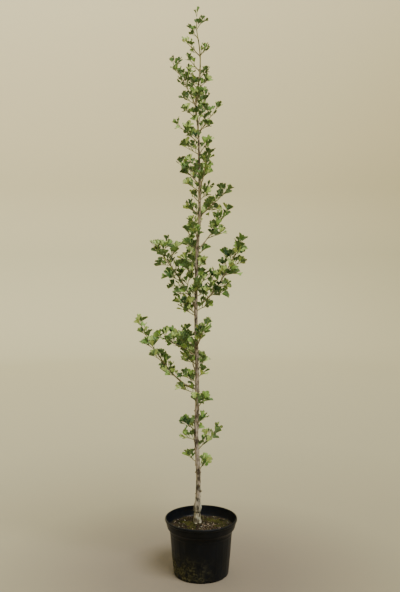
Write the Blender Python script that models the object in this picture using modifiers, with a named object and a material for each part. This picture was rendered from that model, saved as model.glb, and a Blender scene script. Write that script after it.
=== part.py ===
"""A young ginkgo tree, slender and upright, in a round black nursery pot.

Metres, +Z up. The origin is the middle of the pot's flat underside. The tree has one trunk from
the soil to its tip. Shoots leave it at named heights and headings: the longer ones start as a bare
bough, and every shoot ends as a mass of foliage, a stem with short spurs that each carry a rosette
of fan-shaped leaves.
"""

import math
import random

import bmesh
import bpy
from mathutils import Matrix, Vector
from mathutils.bvhtree import BVHTree

# Clear gap between two pieces that touch on the real plant
GAP = 0.0003
MERGE = 0.00001
FLAT_ANGLE = math.radians(0.2)
SMOOTH_ANGLE = math.radians(40.0)
UP = Vector((0.0, 0.0, 1.0))

# Pot: a thin moulded shell, 28.5 cm across its rim
POT_HEIGHT = 0.2245
RIM_RADIUS = 0.1425
RIM_ROLL = 0.0035
RIM_DROP = 0.0080
COLLAR_TOP_RADIUS = 0.1388
COLLAR_FOOT_RADIUS = 0.1333
COLLAR_DEPTH = 0.0365
STEP_DEPTH = 0.0545
BODY_TOP_RADIUS = 0.1222
BODY_FOOT_RADIUS = 0.1090
FOOT_CHAMFER = 0.0060
WALL = 0.0020
BASE_THICKNESS = 0.0030
POT_SIDES = 36

# Drain slots through the pot's lower edge
DRAIN_COUNT = 8
DRAIN_WIDTH = 0.0240
DRAIN_DEPTH = 0.0160
DRAIN_HEIGHT = 0.0055
DRAIN_TURN = 12.0

# Soil fills the pot to 3.5 cm below the rim
SOIL_TOP = 0.1900
SOIL_CLEARANCE = 0.0005

# Trunk: height above the soil, taper, root flare and graft swelling
TRUNK_HEIGHT = 1.9550
TRUNK_RADIUS = 0.0092
TRUNK_TIP_RADIUS = 0.0012
TRUNK_TAPER = 0.70
BUTT_RADIUS = 0.0024
BUTT_HEIGHT = 0.1200
FLARE_RADIUS = 0.0060
FLARE_HEIGHT = 0.0220
GRAFT_RADIUS = 0.0055
GRAFT_HEIGHT = 0.0620
GRAFT_SPREAD = 0.0200
TRUNK_STEP = 0.0550
FOOT_STEP = 0.0130
FOOT_ZONE = 0.1400
# The trunk stands behind the pot's middle and leans forward to its tip
FOOT_BACK = 0.0300
TIP_BACK = 0.0100
# Its course from side to side: height above the soil, sideways place
TRUNK_BENDS = (
    (0.000, -0.0158),
    (0.020, -0.0158),
    (0.120, -0.0120),
    (0.200, -0.0110),
    (0.343, -0.0188),
    (0.520, -0.0155),
    (0.874, -0.0202),
    (1.094, -0.0151),
    (1.194, -0.0066),
    (1.450, -0.0078),
    (1.562, -0.0127),
    (1.629, -0.0205),
    (1.704, -0.0119),
    (1.782, -0.0036),
    (1.849, -0.0059),
    (1.926, -0.0175),
    (1.980, -0.0134),
)

# Shoots that start as a bare bough. Fork height, reach and rise are in metres, the heading is in
# degrees from +X, and the bend is the power of the rise: over 1 turns up, under 1 levels out.
# name, fork, heading, reach, rise, bend, radius, bare share, spurs, leaves on a spur
BOUGHS = (
    ("low_left", 0.541, 172, 0.224, 0.250, 1.75, 0.0038, 0.30, 8, 4),
    ("mid_left", 0.664, 205, 0.146, 0.086, 0.75, 0.0032, 0.16, 6, 4),
    ("big_left", 0.850, 160, 0.165, 0.244, 0.76, 0.0042, 0.28, 8, 4),
    ("big_right", 0.872, -14, 0.172, 0.238, 1.65, 0.0042, 0.24, 9, 4),
    ("right_shoulder", 1.085, 24, 0.122, 0.148, 1.15, 0.0028, 0.34, 4, 4),
    ("high_right", 1.216, -28, 0.110, 0.088, 1.05, 0.0026, 0.30, 5, 4),
    ("upper_left", 1.630, 168, 0.086, 0.164, 0.85, 0.0025, 0.20, 7, 4),
    ("low_back", 0.575, 110, 0.140, 0.170, 0.95, 0.0030, 0.34, 4, 4),
    ("mid_back", 0.985, 102, 0.145, 0.172, 0.95, 0.0028, 0.34, 4, 4),
    ("high_front", 1.300, -76, 0.118, 0.132, 0.95, 0.0025, 0.30, 3, 3),
    ("upper_back", 1.560, 72, 0.092, 0.118, 0.95, 0.0022, 0.28, 3, 3),
)

# Leafy twigs that are foliage from the trunk on: fork, heading, reach, rise, spurs, leaves on a spur
TWIGS = (
    (1.530, 12, 0.068, 0.094, 3, 4),
    (1.494, 200, 0.076, 0.060, 3, 4),
    (1.337, 155, 0.074, 0.072, 4, 4),
    (0.292, 10, 0.070, 0.072, 3, 4),
)

# Short spurs on the trunk: fork, heading, reach, rise, spurs, leaves on a spur
TRUNK_SPURS = (
    (0.206, -8, 0.020, 0.036, 2, 5),
    (0.244, 168, 0.026, 0.018, 1, 7),
    (0.334, 204, 0.032, 0.014, 1, 7),
    (0.370, 172, 0.034, 0.028, 2, 6),
    (0.394, 38, 0.019, 0.018, 1, 7),
    (0.460, -18, 0.024, 0.036, 2, 5),
    (0.568, 186, 0.036, 0.018, 1, 7),
    (0.604, 18, 0.021, 0.044, 2, 5),
    (0.704, -72, 0.076, 0.070, 3, 5),
    (0.700, 176, 0.028, 0.020, 1, 7),
    (0.756, 6, 0.030, 0.024, 1, 7),
    (0.836, 216, 0.044, 0.036, 2, 6),
    (0.962, 42, 0.022, 0.022, 1, 6),
    (1.024, 190, 0.036, 0.020, 1, 7),
    (1.088, 168, 0.026, 0.014, 1, 7),
    (1.124, -108, 0.062, 0.060, 3, 5),
    (1.218, 196, 0.028, 0.020, 1, 7),
    (1.268, 150, 0.020, 0.018, 1, 6),
    (1.298, 30, 0.028, 0.018, 1, 6),
    (1.310, 202, 0.036, 0.022, 1, 7),
    (1.354, -16, 0.024, 0.020, 1, 7),
    (1.452, 8, 0.026, 0.038, 2, 6),
    (1.452, 174, 0.034, 0.018, 1, 7),
    (1.656, -60, 0.018, 0.016, 1, 6),
    (1.734, 14, 0.018, 0.022, 1, 7),
    (1.762, 160, 0.034, 0.040, 1, 6),
    (1.822, -26, 0.016, 0.016, 1, 5),
    (1.820, 190, 0.044, 0.042, 1, 6),
    (1.886, 172, 0.021, 0.026, 1, 7),
    (1.920, 22, 0.016, 0.022, 1, 6),
)

# Steps of each kind of limb's bevel: 0 has four sides, 1 has six, 2 has eight
TRUNK_ROUNDNESS = 2
BOUGH_ROUNDNESS = 1
STEM_ROUNDNESS = 0

# Growth that all shoots share
PATH_STEP = 0.0170
KINK = 0.0016
SHOOT_TIP_RADIUS = 0.0013
SHOOT_TAPER = 0.75
TWIG_RADIUS = 0.0022
STEM_FIT = 0.92
SPUR_LENGTH = (0.006, 0.013)
SPUR_RADIUS = 0.0017
SPUR_TIP_RADIUS = 0.0029
BUD_LENGTH = 0.0050
SPUR_FORWARD = 0.50
SPUR_LIFT = 0.75
SPUR_JITTER = 0.40
GOLDEN_TURN = math.radians(137.5)
LEADER_LENGTH = 0.012
LEADER_LEAVES = 5

# Leaf: a three-sided stalk and a fan with a notch in its rim
LEAF_LENGTH = (0.024, 0.032)
TOP_SHRINK = 0.34
TOP_SHRINK_POWER = 2.0
STALK_LENGTH = (0.005, 0.015)
STALK_RADIUS = 0.0009
STALK_TIP_RADIUS = 0.0008
STALK_SINK = 0.0030
FAN_RIM = ((-40.0, 0.89), (-19.0, 1.00), (0.0, 0.79), (19.0, 1.00), (40.0, 0.89))
NOTCH_CORNER = 8
CUP = 0.16

# How a leaf is held: the stalk's spread from the spur, then how far stalk and blade lift and turn
STALK_SPREAD = (8.0, 48.0)
STALK_LIFT = 0.45
STALK_JITTER = 0.50
BLADE_LIFT = (0.10, 0.80)
BLADE_JITTER = 0.24
FACE_UP = (-0.10, 0.90)
FACE_OUT = (-0.90, 0.90)
FACE_JITTER = 0.70
EDGE_ON = 0.92

# A leaf has to keep to its mass's room and clear of what is grown; its stalk's foot may touch its own
ROOM = 0.075
TRIES = 12
TEST_MARGIN = 0.0006
FOOT_SHARE = 0.45
SEED = 4100

COLOURS = {
    "pot": ((0.012, 0.012, 0.012), 0.42),
    "soil": ((0.055, 0.038, 0.020), 0.95),
    "trunk": ((0.190, 0.140, 0.090), 0.80),
    "bough": ((0.200, 0.160, 0.100), 0.80),
    "foliage": ((0.110, 0.170, 0.035), 0.60),
}


def clear_scene():
    for item in list(bpy.data.objects):
        bpy.data.objects.remove(item, do_unlink=True)


def new_collection(name):
    collection = bpy.data.collections.new(name)
    bpy.context.scene.collection.children.link(collection)
    return collection


def new_material(name, kind):
    colour, roughness = COLOURS[kind]
    material = bpy.data.materials.new(name)
    material.use_nodes = True
    shader = material.node_tree.nodes["Principled BSDF"]
    shader.inputs["Base Color"].default_value = (*colour, 1.0)
    shader.inputs["Roughness"].default_value = roughness
    shader.inputs["Metallic"].default_value = 0.0
    return material


def new_object(name, mesh, collection):
    item = bpy.data.objects.new(name, mesh)
    collection.objects.link(item)
    return item


def mesh_from_bmesh(name, shape):
    mesh = bpy.data.meshes.new(name)
    shape.to_mesh(mesh)
    shape.free()
    return mesh


def evaluated_mesh(item):
    """The object's mesh with its modifiers or bevel applied, as a new mesh."""
    depsgraph = bpy.context.evaluated_depsgraph_get()
    return bpy.data.meshes.new_from_object(item.evaluated_get(depsgraph))


def remove_object(item):
    bpy.data.objects.remove(item, do_unlink=True)


def smooth(item):
    item.data.shade_smooth()
    item.data.set_sharp_from_angle(angle=SMOOTH_ANGLE)


def turned_solid(name, profile, steps, collection):
    """A profile in the XZ plane turned about Z by a Screw modifier and applied."""
    mesh = bpy.data.meshes.new(name)
    points = [(radius, 0.0, height) for radius, height in profile]
    mesh.from_pydata(points, [(i, i + 1) for i in range(len(points) - 1)], [])
    item = new_object(name, mesh, collection)
    screw = item.modifiers.new("Turn", "SCREW")
    screw.axis = "Z"
    screw.angle = math.tau
    screw.steps = steps
    screw.render_steps = steps
    screw.use_merge_vertices = True
    screw.merge_threshold = MERGE
    item.data = evaluated_mesh(item)
    item.modifiers.clear()
    item.data.name = name
    return item


def pot_outside():
    """The outer profile from the rim's top down to the middle of the underside."""
    return [
        (RIM_RADIUS - RIM_ROLL, POT_HEIGHT),
        (RIM_RADIUS, POT_HEIGHT - RIM_ROLL / 2),
        (RIM_RADIUS, POT_HEIGHT - RIM_DROP),
        (COLLAR_TOP_RADIUS, POT_HEIGHT - RIM_DROP - RIM_ROLL),
        (COLLAR_FOOT_RADIUS, POT_HEIGHT - COLLAR_DEPTH),
        (BODY_TOP_RADIUS, POT_HEIGHT - STEP_DEPTH),
        (BODY_FOOT_RADIUS, FOOT_CHAMFER),
        (BODY_FOOT_RADIUS - FOOT_CHAMFER, 0.0),
        (0.0, 0.0),
    ]


def pot_inside(clearance=0.0):
    """The inner profile from the middle of the floor up to just under the rim."""
    inset = WALL + clearance
    floor = BASE_THICKNESS + clearance
    return [
        (0.0, floor),
        (BODY_FOOT_RADIUS - FOOT_CHAMFER - inset, floor),
        (BODY_FOOT_RADIUS - inset, FOOT_CHAMFER + inset),
        (BODY_TOP_RADIUS - inset, POT_HEIGHT - STEP_DEPTH),
        (COLLAR_FOOT_RADIUS - inset, POT_HEIGHT - COLLAR_DEPTH + inset / 2),
        (COLLAR_TOP_RADIUS - inset, POT_HEIGHT - RIM_DROP),
    ]


def build_pot(parts, cutters):
    profile = pot_inside() + pot_outside()
    pot = turned_solid("pot", profile, POT_SIDES, parts)
    slots = bmesh.new()
    for index in range(DRAIN_COUNT):
        turn = math.radians(DRAIN_TURN + 360.0 * index / DRAIN_COUNT)
        place = Matrix.Rotation(turn, 4, "Z") @ Matrix.Translation((BODY_FOOT_RADIUS, 0.0, 0.0))
        size = Matrix.Diagonal((DRAIN_DEPTH, DRAIN_WIDTH, 2 * DRAIN_HEIGHT, 1.0))
        bmesh.ops.create_cube(slots, size=1.0, matrix=place @ size)
    cutter = new_object("drain_cutter", mesh_from_bmesh("drain_cutter", slots), cutters)
    cutter.hide_render = True
    cutter.display_type = "WIRE"
    cut = pot.modifiers.new("Drains", "BOOLEAN")
    cut.operation = "DIFFERENCE"
    cut.object = cutter
    pot.data.materials.append(new_material("pot_plastic", "pot"))
    smooth(pot)


def soil_radius(height):
    """Inner radius of the pot at a height, less the soil's clearance."""
    wall = pot_inside(SOIL_CLEARANCE)
    for (low_radius, low), (high_radius, high) in zip(wall, wall[1:]):
        if low <= height <= high and high > low:
            return low_radius + (high_radius - low_radius) * (height - low) / (high - low)
    return wall[-1][0]


def build_soil(parts):
    wall = [point for point in pot_inside(SOIL_CLEARANCE) if point[1] < SOIL_TOP]
    profile = [(0.0, SOIL_TOP), (soil_radius(SOIL_TOP), SOIL_TOP)] + wall[::-1]
    soil = turned_solid("soil", profile, POT_SIDES, parts)
    soil.data.materials.append(new_material("potting_soil", "soil"))
    smooth(soil)


def trunk_sideways(height):
    """Smooth course through the trunk's bends: a Catmull-Rom curve in the height."""
    rows = TRUNK_BENDS
    spot = 0
    while spot < len(rows) - 2 and height > rows[spot + 1][0]:
        spot += 1
    before = rows[max(spot - 1, 0)]
    start = rows[spot]
    end = rows[spot + 1]
    after = rows[min(spot + 2, len(rows) - 1)]
    span = end[0] - start[0]
    share = (height - start[0]) / span
    slope_in = span * (end[1] - before[1]) / max(end[0] - before[0], MERGE)
    slope_out = span * (after[1] - start[1]) / max(after[0] - start[0], MERGE)
    square = share * share
    cube = square * share
    return (
        (2 * cube - 3 * square + 1) * start[1]
        + (cube - 2 * square + share) * slope_in
        + (3 * square - 2 * cube) * end[1]
        + (cube - square) * slope_out
    )


def trunk_point(height):
    share = height / TRUNK_HEIGHT
    back = FOOT_BACK + (TIP_BACK - FOOT_BACK) * share
    return Vector((trunk_sideways(height), back, SOIL_TOP + GAP + height))


def trunk_radius(height):
    """Taper to the tip, with a butt, a root flare and a graft swelling near the soil."""
    share = max(0.0, 1.0 - height / TRUNK_HEIGHT)
    stem = TRUNK_TIP_RADIUS + (TRUNK_RADIUS - TRUNK_TIP_RADIUS) * share**TRUNK_TAPER
    butt = BUTT_RADIUS * math.exp(-height / BUTT_HEIGHT)
    flare = FLARE_RADIUS * math.exp(-height / FLARE_HEIGHT)
    swelling = GRAFT_RADIUS * math.exp(-(((height - GRAFT_HEIGHT) / GRAFT_SPREAD) ** 2))
    return stem + butt + flare + swelling


def trunk_heights():
    """Close stations in the foot, wider ones above, ending at the tip."""
    low = round(FOOT_ZONE / FOOT_STEP)
    high = round((TRUNK_HEIGHT - FOOT_ZONE) / TRUNK_STEP)
    foot = [FOOT_ZONE * i / low for i in range(low)]
    stem = [FOOT_ZONE + (TRUNK_HEIGHT - FOOT_ZONE) * i / high for i in range(high + 1)]
    return foot + stem


def limb(name, points, radii, roundness, collection):
    """A tapering limb: a curve with a bevel and filled caps, made into a closed mesh."""
    curve = bpy.data.curves.new(name, "CURVE")
    curve.dimensions = "3D"
    curve.bevel_depth = 1.0
    curve.bevel_resolution = roundness
    curve.use_fill_caps = True
    spline = curve.splines.new("POLY")
    spline.points.add(len(points) - 1)
    for spot, point, radius in zip(spline.points, points, radii):
        spot.co = (*point, 1.0)
        spot.radius = radius
    guide = new_object(name + "_guide", curve, collection)
    shape = bmesh.new()
    shape.from_mesh(evaluated_mesh(guide))
    bmesh.ops.remove_doubles(shape, verts=shape.verts, dist=MERGE)
    item = new_object(name, mesh_from_bmesh(name, shape), collection)
    item.matrix_world = guide.matrix_world
    remove_object(guide)
    return item


def build_trunk(parts, cutters):
    """The trunk, and a cutter that is wider by the gap, which seats every limb on the trunk."""
    heights = trunk_heights()
    points = [trunk_point(height) for height in heights]
    radii = [trunk_radius(height) for height in heights]
    trunk = limb("trunk", points, radii, TRUNK_ROUNDNESS, parts)
    trunk.data.materials.append(new_material("trunk_bark", "trunk"))
    smooth(trunk)
    radii = [radius + GAP for radius in radii]
    cutter = limb("trunk_cutter", points, radii, TRUNK_ROUNDNESS, cutters)
    cutter.hide_render = True
    cutter.display_type = "WIRE"
    return trunk, cutter


def shoot_course(fork, heading, reach, rise, bend):
    """Points from the trunk's axis: out by equal steps, up by a power of the way along."""
    start = trunk_point(fork)
    angle = math.radians(heading)
    outward = Vector((math.cos(angle), math.sin(angle), 0.0))
    aside = Vector((-outward.y, outward.x, 0.0))
    steps = max(3, round(math.hypot(reach, rise) / PATH_STEP))
    points = []
    for index in range(steps + 1):
        way = index / steps
        kink = KINK * (-1) ** index * min(1.0, 2 * way) if index < steps else 0.0
        points.append(start + outward * reach * way + UP * rise * way**bend + aside * kink)
    return points


def shoot_radii(points, radius):
    last = len(points) - 1
    return [
        SHOOT_TIP_RADIUS + (radius - SHOOT_TIP_RADIUS) * (1 - index / last) ** SHOOT_TAPER
        for index in range(last + 1)
    ]


def split_course(points, radii, bare):
    """Bough and stem from one course, parted in the middle of a span and clear by the gap."""
    spot = max(1, min(len(points) - 3, round(bare * (len(points) - 1))))
    middle = (points[spot] + points[spot + 1]) / 2
    forward = (points[spot + 1] - points[spot]).normalized()
    radius = (radii[spot] + radii[spot + 1]) / 2
    bough = (points[: spot + 1] + [middle], radii[: spot + 1] + [radius])
    stem_points = [middle + forward * GAP] + points[spot + 1:]
    stem_radii = [radius * STEM_FIT] + [value * STEM_FIT for value in radii[spot + 1:]]
    return bough, (stem_points, stem_radii)


def seat_on_trunk(item, cutter):
    """Cut a limb's foot to the trunk's face, clear by the gap, and apply the cut."""
    cut = item.modifiers.new("Seat", "BOOLEAN")
    cut.operation = "DIFFERENCE"
    cut.object = cutter
    item.data = evaluated_mesh(item)
    item.modifiers.clear()


def knobbed_spur(start, end):
    """A short four-sided spur that thickens to its end, where the leaf stalks root."""
    shape = bmesh.new()
    along = end - start
    place = Matrix.Translation((start + end) / 2) @ along.to_track_quat("Z", "Y").to_matrix().to_4x4()
    bmesh.ops.create_cone(
        shape,
        cap_ends=True,
        segments=4,
        radius1=SPUR_RADIUS,
        radius2=SPUR_TIP_RADIUS,
        depth=along.length,
        matrix=place,
    )
    return shape


def leaf_frame(along, up):
    """Unit vectors along the blade, to its right, and out of its upper face."""
    along = along.normalized()
    right = along.cross(up).normalized()
    return along, right, right.cross(along)


def leaf_skin(leaf, margin=0.0, stalk_from=0.0):
    """Corners and faces of one leaf: a three-sided stalk that opens into a notched fan."""
    root, knee, along, up, length = leaf
    root = root.lerp(knee, stalk_from)
    along, right, top = leaf_frame(along, up)
    stalk = (knee - root).normalized()
    stalk_right = (right - right.dot(stalk) * stalk).normalized()
    stalk_top = stalk_right.cross(stalk)
    corners = []
    for centre, radius in ((root, STALK_RADIUS + margin), (knee, STALK_TIP_RADIUS + margin)):
        for turn in (90.0, 210.0, 330.0):
            angle = math.radians(turn)
            arm = math.cos(angle) * stalk_right + math.sin(angle) * stalk_top
            corners.append(centre + radius * arm)
    for degrees, share in FAN_RIM:
        angle = math.radians(degrees)
        arm = math.cos(angle) * along + math.sin(angle) * right
        lift = CUP * length * math.sin(angle) ** 2
        corners.append(knee + arm * (length * share + margin) + top * lift)
    faces = [
        (0, 1, 2), (1, 0, 3, 4), (2, 1, 4, 5), (0, 2, 5, 3), (4, 3, 6), (3, 5, 10),
        (3, 10, 9), (3, 9, 8), (3, 8, 7), (3, 7, 6),
        (4, 6, 7), (4, 7, 8), (4, 8, 5), (5, 8, 9), (5, 9, 10),
    ]
    return corners, faces


def skin_tree(skin):
    return BVHTree.FromPolygons(*skin)


class Space:
    """What is already grown: a tree of faces for each limb, twig and leaf, with its owner."""

    def __init__(self):
        self.rows = []

    def add_object(self, owner, item):
        corners = [corner.co.copy() for corner in item.data.vertices]
        faces = [tuple(face.vertices) for face in item.data.polygons]
        self.add(owner, corners, skin_tree((corners, faces)))

    def add(self, owner, corners, whole, outer=None):
        centre = sum(corners, Vector()) / len(corners)
        radius = max((corner - centre).length for corner in corners)
        self.rows.append((owner, centre, radius, whole, outer or whole))

    def is_free(self, owner, corners, whole, outer=None):
        """No face meets another mass or, if the outer part is given, a leaf of its own mass."""
        centre = sum(corners, Vector()) / len(corners)
        radius = max((corner - centre).length for corner in corners)
        for other, place, size, other_whole, other_outer in self.rows:
            if (place - centre).length > radius + size:
                continue
            if other == owner:
                if outer and outer.overlap(other_outer):
                    return False
            elif whole.overlap(other_whole):
                return False
        return True


def random_turn(rng, amount):
    return Vector([rng.uniform(-amount, amount) for _ in range(3)])


def drawn_leaf(rng, tip, axis, turn, size):
    """One leaf drawn from the rosette rule: out from the spur's tip, its blade lifted and open."""
    side = axis.orthogonal().normalized()
    ring = (side * math.cos(turn) + axis.cross(side) * math.sin(turn)).normalized()
    spread = math.radians(rng.uniform(*STALK_SPREAD))
    stalk = axis * math.cos(spread) + ring * math.sin(spread) + UP * STALK_LIFT
    stalk = stalk.normalized()
    stalk_length = rng.uniform(*STALK_LENGTH)
    root = tip - axis * STALK_SINK
    knee = tip + stalk * stalk_length
    along = (stalk + UP * rng.uniform(*BLADE_LIFT) + random_turn(rng, BLADE_JITTER)).normalized()
    facing = UP * rng.uniform(*FACE_UP) + ring * rng.uniform(*FACE_OUT)
    facing = facing + random_turn(rng, FACE_JITTER)
    if abs(facing.normalized().dot(along)) > EDGE_ON:
        facing = facing + axis.cross(ring)
    length = size * rng.uniform(*LEAF_LENGTH)
    return root, knee, along, facing, length


def grow_rosette(rng, owner, space, stem, tip, axis, count, size):
    """Leaves round a spur's tip, by the golden turn. A leaf that finds no free room is skipped."""
    leaves = []
    start = rng.uniform(0.0, math.tau)
    for index in range(count):
        for _ in range(TRIES):
            turn = start + index * GOLDEN_TURN + rng.uniform(-STALK_JITTER, STALK_JITTER)
            leaf = drawn_leaf(rng, tip, axis, turn, size)
            skin = leaf_skin(leaf, TEST_MARGIN)
            notch = skin[0][NOTCH_CORNER]
            if min((notch - spot).length for spot in stem) > ROOM:
                continue
            whole = skin_tree(skin)
            outer = skin_tree(leaf_skin(leaf, TEST_MARGIN, FOOT_SHARE))
            if space.is_free(owner, skin[0], whole, outer):
                space.add(owner, skin[0], whole, outer)
                leaves.append(leaf)
                break
    return leaves


def grow_mass(rng, owner, space, stem, spurs, count, size):
    """Spurs at even steps up the stem, turned by the golden angle, and a rosette on each."""
    twigs = []
    leaves = []
    last = len(stem) - 1
    for index in range(spurs):
        way = (index + 1) / spurs
        spot = min(last, max(1, round(way * last)))
        forward = (stem[spot] - stem[spot - 1]).normalized()
        if index == spurs - 1:
            tip = stem[last] + forward * BUD_LENGTH / 2
            twigs.append(knobbed_spur(tip - forward * BUD_LENGTH, tip))
            leaves += grow_rosette(rng, owner, space, stem, tip, forward, count, size)
            continue
        side = forward.orthogonal().normalized()
        turn = index * GOLDEN_TURN + rng.uniform(-SPUR_JITTER, SPUR_JITTER)
        ring = side * math.cos(turn) + forward.cross(side) * math.sin(turn)
        axis = (ring + forward * SPUR_FORWARD + UP * SPUR_LIFT).normalized()
        tip = stem[spot] + axis * rng.uniform(*SPUR_LENGTH)
        twig = knobbed_spur(stem[spot], tip)
        corners = [corner.co.copy() for corner in twig.verts]
        tree = BVHTree.FromBMesh(twig)
        if not space.is_free(owner, corners, tree):
            twig.free()
            continue
        space.add(owner, corners, tree)
        twigs.append(twig)
        leaves += grow_rosette(rng, owner, space, stem, tip, axis, count, size)
    return twigs, leaves


def signed_volume(faces):
    total = 0.0
    for face in faces:
        spots = [loop.vert.co for loop in face.loops]
        for index in range(1, len(spots) - 1):
            total += spots[0].dot(spots[index].cross(spots[index + 1])) / 6.0
    return total


def keep_one_body(mesh):
    """Drop loose scraps and sealed hollows: only the largest outward shell stays."""
    shape = bmesh.new()
    shape.from_mesh(mesh)
    left = set(shape.faces)
    shells = []
    while left:
        shell = set()
        front = [left.pop()]
        while front:
            face = front.pop()
            shell.add(face)
            for edge in face.edges:
                for other in edge.link_faces:
                    if other in left:
                        left.discard(other)
                        front.append(other)
        shells.append(shell)
    shells.sort(key=signed_volume, reverse=True)
    scraps = [face for shell in shells[1:] for face in shell]
    if scraps:
        bmesh.ops.delete(shape, geom=scraps, context="FACES")
    bmesh.ops.dissolve_limit(
        shape, angle_limit=FLAT_ANGLE, use_dissolve_boundaries=False, verts=shape.verts, edges=shape.edges
    )
    bmesh.ops.triangulate(shape, faces=shape.faces)
    shape.to_mesh(mesh)
    shape.free()


def join_mass(name, stem, twigs, leaves, parts):
    """One Boolean union of the stem with a collection of its twigs and leaves."""
    heap = new_collection(name + "_pieces")
    for twig in twigs:
        new_object(name + "_twig", mesh_from_bmesh(name, twig), heap)
    for leaf in leaves:
        mesh = bpy.data.meshes.new(name)
        corners, faces = leaf_skin(leaf)
        mesh.from_pydata(corners, [], faces)
        new_object(name + "_leaf", mesh, heap)
    join = stem.modifiers.new("Join", "BOOLEAN")
    join.operation = "UNION"
    join.operand_type = "COLLECTION"
    join.collection = heap
    join.solver = "MANIFOLD"
    mass = new_object(name, evaluated_mesh(stem), parts)
    remove_object(stem)
    for piece in list(heap.objects):
        remove_object(piece)
    bpy.data.collections.remove(heap)
    return mass


def leaf_scale(height):
    """Leaves are smaller towards the top of the tree."""
    return 1.0 - TOP_SHRINK * (height / TRUNK_HEIGHT) ** TOP_SHRINK_POWER


def shoot_table():
    """Every shoot by one set of columns; twigs and trunk spurs have no bare share."""
    rows = list(BOUGHS)
    for kind, table in (("twig", TWIGS), ("spur", TRUNK_SPURS)):
        for index, (fork, heading, reach, rise, spurs, leaves) in enumerate(table):
            name = f"{kind}_{index + 1:02d}"
            radius = min(TWIG_RADIUS, trunk_radius(fork) * STEM_FIT)
            rows.append((name, fork, heading, reach, rise, 1.0, radius, 0.0, spurs, leaves))
    return rows


def build_bough(name, points, radii, bark, parts, trunk_cutter):
    bough = limb("bough_" + name, points, radii, BOUGH_ROUNDNESS, parts)
    seat_on_trunk(bough, trunk_cutter)
    keep_one_body(bough.data)
    bough.data.materials.append(bark)
    smooth(bough)
    return bough


def leader_course():
    """The last stretch of the trunk's line, clear of its tip by the gap."""
    top = trunk_point(TRUNK_HEIGHT)
    forward = (top - trunk_point(TRUNK_HEIGHT - TRUNK_STEP)).normalized()
    return [top + forward * GAP, top + forward * LEADER_LENGTH]


def build_crown(parts, trunk, trunk_cutter):
    """All boughs and stems first, so that every leaf is drawn clear of all the wood."""
    space = Space()
    space.add_object("trunk", trunk)
    bark = new_material("bough_bark", "bough")
    green = new_material("leaf_green", "foliage")
    stems = []
    for name, fork, heading, reach, rise, bend, radius, bare, spurs, leaves in shoot_table():
        points = shoot_course(fork, heading, reach, rise, bend)
        radii = shoot_radii(points, radius)
        if bare:
            wood, (points, radii) = split_course(points, radii, bare)
            bough = build_bough(name, *wood, bark, parts, trunk_cutter)
            space.add_object(bough.name, bough)
        stem = limb("stem_" + name, points, radii, STEM_ROUNDNESS, parts)
        stems.append((name, fork, stem, points, not bare, spurs, leaves))
    points = leader_course()
    radii = [TRUNK_TIP_RADIUS] * len(points)
    stem = limb("stem_leader", points, radii, STEM_ROUNDNESS, parts)
    stems.append(("leader", TRUNK_HEIGHT, stem, points, False, 1, LEADER_LEAVES))
    for name, _, stem, _, _, _, _ in stems:
        space.add_object("foliage_" + name, stem)
    for index, (name, fork, stem, points, on_trunk, spurs, leaves) in enumerate(stems):
        owner = "foliage_" + name
        rng = random.Random(SEED + index)
        twigs, blades = grow_mass(rng, owner, space, points, spurs, leaves, leaf_scale(fork))
        mass = join_mass(owner, stem, twigs, blades, parts)
        if on_trunk:
            seat_on_trunk(mass, trunk_cutter)
        keep_one_body(mass.data)
        mass.data.materials.clear()
        mass.data.materials.append(green)


def build_tree():
    clear_scene()
    parts = new_collection("ginkgo_tree")
    cutters = new_collection("cutters")
    build_pot(parts, cutters)
    build_soil(parts)
    trunk, trunk_cutter = build_trunk(parts, cutters)
    build_crown(parts, trunk, trunk_cutter)


build_tree()
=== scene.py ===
"""Looks of a young potted ginkgo tree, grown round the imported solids, in metres with +Z up."""

import math
import random

import bpy
import numpy as np
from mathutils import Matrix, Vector
from mathutils.bvhtree import BVHTree


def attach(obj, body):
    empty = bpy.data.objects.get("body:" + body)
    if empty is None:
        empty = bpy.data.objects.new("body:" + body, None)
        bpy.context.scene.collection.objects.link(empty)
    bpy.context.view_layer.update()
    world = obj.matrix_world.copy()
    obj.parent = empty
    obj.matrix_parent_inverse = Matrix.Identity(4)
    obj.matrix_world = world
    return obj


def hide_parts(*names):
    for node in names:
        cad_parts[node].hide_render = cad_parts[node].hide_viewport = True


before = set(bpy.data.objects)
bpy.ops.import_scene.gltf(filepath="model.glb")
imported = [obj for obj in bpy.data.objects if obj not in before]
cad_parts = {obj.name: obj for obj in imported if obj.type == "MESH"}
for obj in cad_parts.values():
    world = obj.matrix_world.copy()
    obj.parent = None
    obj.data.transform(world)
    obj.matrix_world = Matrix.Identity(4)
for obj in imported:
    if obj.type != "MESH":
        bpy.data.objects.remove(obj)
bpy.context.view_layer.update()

# ---- Studio ----
# A pale floor that curves up into a backdrop all round, so the tree can be seen from any
# side. Its colour holds painted shade, darkest round the pot, and painted light that brightens
# it up the backdrop. One wide soft lamp stands high at the front right and an even pale sky
# fills the rest.

CAMERA_PLACE = (-0.0043427, -3.0, 1.31788)
CAMERA_DOWN = math.radians(4.169761)
CAMERA_LENS = 47.314
FLOOR_REACH = 5.4
COVE_RADIUS = 2.0
BACKDROP_TOP = 7.5
FLOOR_DROP = 0.0002
FLOOR_RINGS = 24
FLOOR_SIDES = 96
SKY_COLOUR = (0.97, 0.99, 1.00)
SKY_STRENGTH = 0.74
LAMP_STRENGTH = 3.7
LAMP_SPREAD = math.radians(34.0)
LAMP_PLACE = (2.4, -3.2, 5.2)
BACKDROP_REACH = 9.0
# Painted shade and light by distance from the middle: darkest round the pot, brightening up the backdrop
BACKDROP_PAINTED_LIGHT = (
    (0.000, (0.245, 0.208, 0.155)), (0.036, (0.255, 0.218, 0.162)), (0.100, (0.388, 0.352, 0.232)),
    (0.230, (0.440, 0.404, 0.256)), (0.600, (0.480, 0.442, 0.272)), (0.810, (0.545, 0.500, 0.302)),
    (0.870, (0.760, 0.680, 0.425)), (0.950, (0.900, 0.810, 0.520)),
)


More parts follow.
